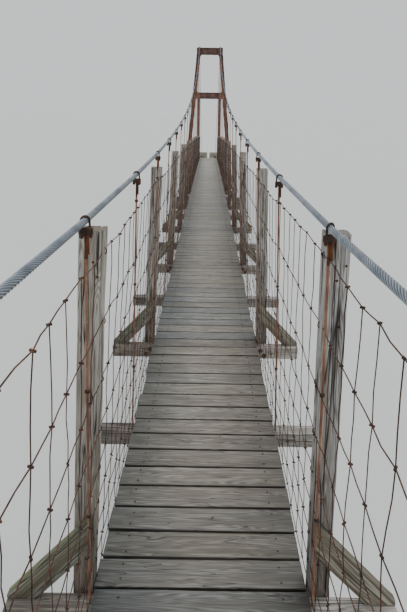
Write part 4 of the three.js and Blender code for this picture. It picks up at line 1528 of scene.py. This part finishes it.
    def fastenings(self, side: Side, first: int, last: int, name: str) -> list[Object]:
        """Sets the bolts through beam and post, the old nails and the wire staples.

        Args:
            side: Side of the bridge.
            first: First station of the length.
            last: Last station of the length.
            name: Ending of the pieces' names.

        Returns:
            One object for each kind of fastening.
        """
        line, sign = self.line, side.value
        bolts, nails, staples = FittingRow(self.bolt), FittingRow(self.nail), FittingRow(self.staple)
        quarter = math.pi / 2
        across, up = self.bolt_step
        rng = np.random.default_rng(self.seed + first + side.value)
        for station in self.post_stations(first, last):
            y, post_y = line.station_y(station), self.post_y(station)
            deck, height = line.deck_top(y), line.top_of_post(y)
            mid_z = line.beam_top(y) - line.beam / 2
            for turn, face in ((quarter, y - line.beam / 2 + self.bolt_sink),
                               (-quarter, post_y + line.post / 2 - self.bolt_sink)):
                for dx, dz in ((-across, up), (across, -up)):
                    x = line.post_x(side, y, mid_z - deck) + dx
                    bolts.put((sign * x, face, mid_z + dz), (turn, 0.0, 0.0))
            for drop in self.nail_drops:
                off = rng.uniform(-self.nail_scatter, self.nail_scatter)
                x = line.post_x(side, y, height - drop) + off
                face = post_y - line.post / 2 + self.nail_sink
                nails.put((sign * x, face, deck + height - drop), (quarter, 0.0, 0.0))
            for share in self.wire_shares:
                h = height * share
                x = line.post_x(side, y, h) - line.post / 2 + self.staple_sink
                off = rng.uniform(-self.staple_scatter, self.staple_scatter)
                staples.put((sign * x, post_y + off, deck + h), (0.0, -sign * quarter, 0.0))
        tree, metal = self.trees.fittings, self.finishes.fitting
        return [bolts.grow(f"bolts_{name}", tree, metal), nails.grow(f"nails_{name}", tree, metal),
                staples.grow(f"staples_{name}", tree, metal)]

    def fence(self) -> None:
        """Builds the woven wire of both sides."""
        line = self.line
        for side in Side:
            end = line.tower_y - self.fence_short
            count = round(2 * end / self.stay_pitch)
            points, edges, stays = [], [], []
            lines = len(self.wire_shares)
            for i, y in enumerate(np.linspace(-end, end, count + 1)):
                for j, share in enumerate(self.wire_shares):
                    h = line.top_of_post(y) * share
                    x = line.post_x(side, y, h) - line.post / 2 + self.wire_inset
                    points.append((side.value * x, y, line.deck_top(y) + h))
                    here = i * lines + j
                    for there, is_stay, wanted in ((here + 1, True, j + 1 < lines),
                                                   (here + lines, False, i < count)):
                        if wanted:
                            edges.append((here, there))
                            stays.append(is_stay)
            net = plain_mesh(f"net_{side.label}", points, edges=edges)
            net.attributes.new("stay", "BOOLEAN", "EDGE").data.foreach_set("value", stays)
            piece = grow(f"wire_fence_{side.label}", net, self.trees.fence, {
                "Line radius": real(self.line_radius), "Stay radius": real(self.stay_radius),
                "Kink": tuple(real(size) for size in self.kink),
                "Warp": (real(self.warp[0]), real(self.warp[1]), real(self.warp[2] * side.value)),
                "Wave": real(self.wave), "Knot radius": real(self.knot[0]),
                "Knot length": real(self.knot[1]), "Seed": self.seed + side.value,
                "Material": self.finishes.wire})
            deliver(piece, Slot.RUST, sharp=60.0)


def rope_clamp(rope: float, bar: float = 3.6, leg: float = -50.0) -> Body:
    """U-bolt over a rope, with a saddle block and two nuts under it.

    Args:
        rope: Radius of the rope.
        bar: Radius of the U-bolt's bar.
        leg: Height of the ends of its legs.

    Returns:
        The clamp about the rope's centre.
    """
    arch = rope + bar - 0.4
    over = [(arch * math.cos(a), arch * math.sin(a)) for a in np.linspace(math.pi, 0.0, 9)]
    bolt = bent_rod([(-arch, leg), *over, (arch, leg)], bar)
    nuts = [turned(((7.0, leg + 3.0), (7.0, leg + 10.0)), 6, x) for x in (-arch, arch)]
    saddle = block(20.0, 9.0, -40.0, -19.0, 2.5)
    return together(bolt, saddle, *nuts)


@dataclass
class Suspension(BridgePart):
    """The two laid ropes, and the rods and clamps that hang the cross beams from them.

    Attributes:
        lay: Length in which a strand goes once round.
        valley: Depth between two strands, as a share of the radius.
        rod_end: Thickness of the wrapped end of a rod.
        rod_end_spread: Place of the turned-back tail beside the rod's head.
        tail_share: Length of the tail, as a share of the wrapped end.
        clamp_skew: Largest turn of a clamp about its rod, in radians.
        clamp_skew_rate: Radians from one clamp's skew to the next one's.
        foot_nut: Plate, nut and rod's end under a beam.
        tie: Turns of wire that tie a rod to the fence.
        tie_shares: Heights of the ties, as a share of the posts' height.
    """

    rope_radius: float = 10.4
    lay: float = 180.0
    valley: float = 0.18
    strands: int = 10
    fine_reach: float = 4900.0
    fine_step: float = 12.0
    step: float = 46.0
    saddle_radius: float = 400.0
    rod_foot_x: float = 400.0
    rod: float = 9.0
    rod_end: float = 9.6
    rod_end_length: float = 72.0
    rod_end_spread: Point = (6.5, -5.0, 0.0)
    tail_share: float = 0.8
    clamp_drop: float = 38.0
    clamp_skew: float = 0.62
    clamp_skew_rate: float = 1.7
    foot_nut: Body = together(block(27.0, 27.0, -7.0, 0.0, 1.0), turned(((14.0, -20.0), (14.0, -7.0)), 6),
                              turned(((5.5, -40.0), (5.5, -20.0)), 8))
    tie: Body = together(turned(((7.5, -5.0), (9.5, -1.5), (7.5, 1.0)), 7),
                         turned(((7.5, 1.0), (9.0, 3.5), (7.0, 6.0)), 7))
    tie_shares: tuple[float, ...] = (0.948, 0.618, 0.26)
    seed: int = 5

    def path(self, side: Side) -> np.ndarray:
        """Centre line of a rope from one anchor to the other.

        Args:
            side: Side of the bridge.

        Returns:
            Rows of x, y and z.
        """
        line = self.line
        x, top = line.cable(line.tower_y)
        bend = self.saddle_radius
        over = [(x, line.tower_y + bend * math.sin(angle), top - bend + bend * math.cos(angle))
                for angle in np.linspace(-line.cable_slope(line.tower_y), line.backstay_slope, 5)]
        over.append((x, line.tower_y + line.backstay_run, line.anchor_z))
        span = []
        for station in range(-line.bays + 1, line.bays):
            y = line.station_y(station)
            x, z = line.hung_cable(side, y)
            span.append((x, y, z))
        start = [(x, -y, z) for x, y, z in reversed(over)]
        rows = np.array([*start, *span, *over])
        rows[:, 0] *= side.value
        return rows

    def divided(self, rows: np.ndarray) -> np.ndarray:
        """Divides a rope's path into steps, short ones at mid-span."""
        points = [rows[0]]
        for a, b in zip(rows[:-1], rows[1:]):
            step = self.fine_step if max(abs(a[1]), abs(b[1])) < self.fine_reach else self.step
            count = max(1, round(float(np.linalg.norm(b - a)) / step))
            points += [a + (b - a) * k / count for k in range(1, count + 1)]
        return np.array(points)

    def ropes(self) -> None:
        """Lays both ropes."""
        for side in Side:
            rows = self.divided(self.path(side))
            base = plain_mesh("rope_path", rows, edges=[(i, i + 1) for i in range(len(rows) - 1)])
            piece = grow(f"laid_rope_{side.label}", base, self.trees.rope, {
                "Radius": real(self.rope_radius), "Valley": self.valley, "Lay": real(self.lay),
                "Strands": self.strands, "Material": self.finishes.rope})
            deliver(piece, Slot.ROPE, f"main_cable_{side.label}", sharp=80.0)

    def rods(self) -> None:
        """Hangs the rods from clamps on the ropes, with nuts under the beams and wire ties."""
        line = self.line
        for side in Side:
            rods, ends = (
                BarRow(Bar(size, size, size / 2 - 0.1, faces_across=1, faces_through=1, steps=steps),
                       **UPRIGHT, furrow=furrow, furrow_width=6.0)
                for size, steps, furrow in ((self.rod, 6, 0.4), (self.rod_end, 4, 0.5)))
            clamps, nuts = FittingRow(rope_clamp(self.rope_radius)), FittingRow(self.foot_nut)
            ties = FittingRow(self.tie)
            for station in range(-line.bays + 1, line.bays):
                y = line.station_y(station)
                x, z = line.hung_cable(side, y)
                foot = Vector((side.value * self.rod_foot_x, y, line.beam_top(y) + line.gap))
                head = Vector((side.value * x, y, z - self.clamp_drop))
                down = (foot - head).normalized()
                rods.lay(tuple(foot), tuple(head))
                ends.lay(tuple(head + down * self.rod_end_length), tuple(head))
                beside = head + Vector(self.rod_end_spread)
                tail = self.rod_end_length * self.tail_share
                ends.lay(tuple(beside + down * tail), tuple(beside))
                skew = self.clamp_skew * math.cos(self.clamp_skew_rate * station)
                clamps.put((side.value * x, y, z), (line.cable_slope(y), 0.0, skew))
                nuts.put((foot.x, y, line.beam_top(y) - line.beam))
                for share in self.tie_shares:
                    level = line.deck_top(y) + line.top_of_post(y) * share
                    if level < head.z - self.rod_end_length:
                        ties.put(head + (foot - head) * ((head.z - level) / (head.z - foot.z)))
            parts = [rods.grow("rods", self.trees.bars, self.finishes.rod, self.seed),
                     ends.grow("rod_ends", self.trees.bars, self.finishes.rod_top, self.seed + 1)]
            for name, row in (("ties", ties), ("clamps", clamps), ("foot_nuts", nuts)):
                parts.append(row.grow(name, self.trees.fittings, self.finishes.fitting))
            deliver(join(f"hanger_rods_{side.label}", parts), Slot.RUST)


@dataclass
class Steelwork(BridgePart):
    """Tower members and foundations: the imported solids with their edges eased, and their bolts.

    Attributes:
        leg_top_x: Distance from the middle to a leg's outer face at its head.
        batter: How far a leg leans outwards for one down.
        plate_top: Height of the base plates' tops.
        joint_columns: Places of the joint bolts over a leg's width.
        beam_rows: Heights of the bolts at the middle beam, above its foot.
        head_rows: The same at the top beam, from the leg's head.
        weld_reach: Distance in metres within which a solid's corners are one.
    """

    leg_top_x: float = 568.0
    batter: float = 0.102
    plate_top: float = 276.6
    plate_half: float = 110.0
    plate_edge: float = 14.0
    joint_columns: tuple[float, ...] = (-42.0, 42.0)
    beam_rows: tuple[float, ...] = (45.0, 132.0, 219.0)
    head_rows: tuple[float, ...] = (-180.0, -110.0, -40.0)
    steel_edge: float = 2.0
    concrete_edge: float = 14.0
    weld_reach: float = 1e-5
    bolt: Body = together(turned(((20.0, -1.0), (20.0, 3.0)), 12), turned(((14.0, 3.0), (14.0, 13.0)), 6),
                          turned(((8.0, 13.0), (6.5, 18.0)), 8))
    anchor_bolt: Body = together(block(13.0, 13.0, -1.0, 4.0, 1.0), turned(((12.0, 4.0), (12.0, 15.0)), 6),
                                 turned(((7.0, 15.0), (7.0, 34.0), (5.5, 36.0)), 10))
    collar: Body = turned(((52.0, -30.0), (52.0, 12.0), (47.0, 17.0), (30.0, 19.0), (27.0, 46.0),
                           (22.0, 52.0)), 20)

    def eased_copy(self, node: str, name: str, finish: Material, radius: float,
                   segments: int = 2) -> Object:
        """Copies a solid, welds it, rounds its edges and gives it a finish.

        Args:
            node: Name of the solid.
            name: Name of the new piece.
            finish: Material of the new piece.
            radius: Radius of the rounded edges.
            segments: Faces over each rounded edge.

        Returns:
            The new piece.
        """
        work = bmesh.new()
        work.from_mesh(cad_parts[node].data)
        bmesh.ops.remove_doubles(work, verts=work.verts, dist=self.weld_reach)
        bmesh.ops.dissolve_limit(work, angle_limit=math.radians(2.0), verts=work.verts, edges=work.edges)
        sharp = [edge for edge in work.edges if edge.is_manifold and edge.calc_face_angle() > 0.5]
        bmesh.ops.bevel(work, geom=sharp, offset=real(radius), segments=segments, profile=0.5,
                        affect="EDGES", clamp_overlap=True)
        mesh = bpy.data.meshes.new(name)
        work.to_mesh(mesh)
        work.free()
        mesh.materials.append(finish)
        return place_object(name, mesh)

    def towers(self) -> None:
        """Dresses both towers."""
        members = ("leg_left", "leg_right", "portal_post_left", "portal_post_right",
                   "middle_beam", "top_beam", "deck_seat")
        for end in End:
            for member in members:
                node = f"{end.label}_tower_{member}"
                piece = self.eased_copy(
                    node, f"{end.label}_{member}_steel", self.finishes.steel, self.steel_edge)
                deliver(piece, Slot.RUST, node)

    def bolts(self) -> None:
        """Bolts the towers' joints and base plates."""
        for end in End:
            joints, anchors = FittingRow(self.bolt), FittingRow(self.anchor_bolt)
            tower_y = end.value * self.line.tower_y
            for side in Side:
                leg_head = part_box(f"{end.label}_tower_leg_{side.label}")[1].z / MILLIMETRE
                beam_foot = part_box(f"{end.label}_tower_middle_beam")[0].z / MILLIMETRE
                heights = [*(beam_foot + row for row in self.beam_rows),
                           *(leg_head + row for row in self.head_rows)]
                for z in heights:
                    outer = self.leg_top_x + self.batter * (leg_head - z)
                    for dy in self.joint_columns:
                        joints.put((side.value * outer, tower_y + dy, z),
                                   (0.0, side.value * math.pi / 2, 0.0))
                for member in ("leg", "portal_post"):
                    inner, outer = sorted(abs(corner.x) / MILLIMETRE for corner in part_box(
                        f"{end.label}_tower_{member}_{side.label}"))
                    if member == "leg":
                        inner = outer - 2 * self.plate_half
                    for x in (inner + self.plate_edge, outer - self.plate_edge):
                        for dy in (self.plate_edge - self.plate_half, self.plate_half - self.plate_edge):
                            anchors.put((side.value * x, tower_y + dy, self.plate_top))
            parts = [joints.grow("joint_bolts", self.trees.fittings, self.finishes.steel),
                     anchors.grow("anchor_bolts", self.trees.fittings, self.finishes.fitting)]
            deliver(join(f"{end.label}_tower_bolts", parts), Slot.RUST)

    def foundations(self) -> None:
        """Dresses footings and anchor blocks."""
        for end in End:
            collars = FittingRow(self.collar)
            for side in Side:
                self.put_collar(collars, end, side)
                for part in ("tower_footing", "anchor"):
                    node = f"{end.label}_{part}_{side.label}"
                    piece = self.eased_copy(node, f"{node}_concrete", self.finishes.concrete,
                                            self.concrete_edge, segments=3)
                    deliver(piece, Slot.CONCRETE, node)
            piece = collars.grow(f"{end.label}_anchor_collars", self.trees.fittings, self.finishes.fitting)
            deliver(piece, Slot.RUST)

    def put_collar(self, collars: FittingRow, end: End, side: Side) -> None:
        """Adds the steel collar where a rope goes into its anchor block.

        Args:
            collars: Row that takes the collar.
            end: End of the bridge.
            side: Side of the bridge.
        """
        line = self.line
        block_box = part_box(f"{end.label}_anchor_{side.label}")
        face = min(abs(corner.y) for corner in block_box) / MILLIMETRE
        inside = line.tower_y + line.backstay_run - face
        z = line.anchor_z + inside * math.tan(line.backstay_slope)
        turn = end.value * (math.pi / 2 - line.backstay_slope)
        collars.put((side.value * line.cable_x_high, end.value * face, z), (turn, 0.0, 0.0))


@dataclass
class Studio:
    """Pale floor, soft light, and a camera set as the one that took the photograph.

    Attributes:
        pitch: Angle at which the camera looks down, in radians.
        roll: Turn about its line of sight, in radians.
        yaw: Turn to the side, in radians.
        eye: Place of the camera in real mm, its height above the deck at mid-span.
        sun_size: How wide the light from above looks, in degrees.
        sun_tilt: How far it leans about X and about Y, in degrees.
    """

    line: BridgeLine
    lens: float = 33.76
    sensor: float = 36.0
    clip_end: float = 500.0
    pitch: float = 0.3252
    roll: float = 0.0142
    yaw: float = -0.0045
    eye: Point = (1.4, -1611.0, 1641.0)
    floor_half: float = 400.0
    floor_colour: str = "cdcfcd"
    sky_colour: str = "eceef0"
    sun_strength: float = 1.6
    sun_size: float = 40.0
    sun_tilt: tuple[float, float] = (-18.0, 14.0)

    def camera(self) -> None:
        """Sets the camera at eye level on the deck, looking along the bridge and down."""
        sin_p, cos_p = math.sin(self.pitch), math.cos(self.pitch)
        forward = Vector((math.sin(self.yaw) * cos_p, math.cos(self.yaw) * cos_p, -sin_p))
        right = Vector((math.cos(self.yaw), -math.sin(self.yaw), 0.0))
        up = right.cross(forward)
        sin_r, cos_r = math.sin(self.roll), math.cos(self.roll)
        rolled_right = cos_r * right + sin_r * up
        rolled_up = cos_r * up - sin_r * right
        data = bpy.data.cameras.new("walker_view")
        data.sensor_width = self.sensor
        data.lens = self.lens
        data.clip_end = self.clip_end
        camera = bpy.data.objects.new("walker_view", data)
        axes = Matrix((rolled_right, rolled_up, -forward)).transposed()
        x, y, z = self.eye
        place = Vector((real(x), real(y), real(self.line.crown_z + z)))
        camera.matrix_world = Matrix.Translation(place) @ axes.to_4x4()
        bpy.context.scene.collection.objects.link(camera)
        bpy.context.scene.camera = camera

    def floor(self) -> None:
        """Lays the pale floor at ground level."""
        h = self.floor_half
        mesh = bpy.data.meshes.new("floor")
        mesh.from_pydata([(-h, -h, 0), (h, -h, 0), (h, h, 0), (-h, h, 0)], [], [(0, 1, 2, 3)])
        floor = place_object("floor", mesh)
        paper, tree, shader = blank_material("floor_paper")
        plug(tree, shader, {"Base Color": linear(self.floor_colour), "Roughness": 0.95})
        mesh.materials.append(paper)

    def light(self) -> None:
        """Lights the scene from all round, a little more from above."""
        world = bpy.data.worlds.new("pale_surround")
        world.use_nodes = True
        background = world.node_tree.nodes["Background"]
        plug(world.node_tree, background, {"Color": linear(self.sky_colour), "Strength": 1.0})
        bpy.context.scene.world = world
        lamp = bpy.data.lights.new("soft_top_light", "SUN")
        lamp.energy = self.sun_strength
        lamp.angle = math.radians(self.sun_size)
        thing = bpy.data.objects.new("soft_top_light", lamp)
        thing.rotation_euler = Euler((*(math.radians(angle) for angle in self.sun_tilt), 0.0))
        bpy.context.scene.collection.objects.link(thing)


def main() -> None:
    """Builds every sub-assembly in order."""
    logging.basicConfig(level=logging.INFO, format="%(name)s %(message)s")
    line = BridgeLine.from_frame()
    trees = GrowthTrees()
    finishes = Finishes()
    deck = Deck(line, trees, finishes)
    deck.planks()
    deck.timbers()
    sides = SideFrames(line, trees, finishes)
    sides.timbers()
    sides.fence()
    suspension = Suspension(line, trees, finishes)
    suspension.ropes()
    suspension.rods()
    steelwork = Steelwork(line, trees, finishes)
    steelwork.towers()
    steelwork.bolts()
    steelwork.foundations()
    studio = Studio(line)
    studio.camera()
    studio.floor()
    studio.light()


if __name__ == "__main__":
    main()
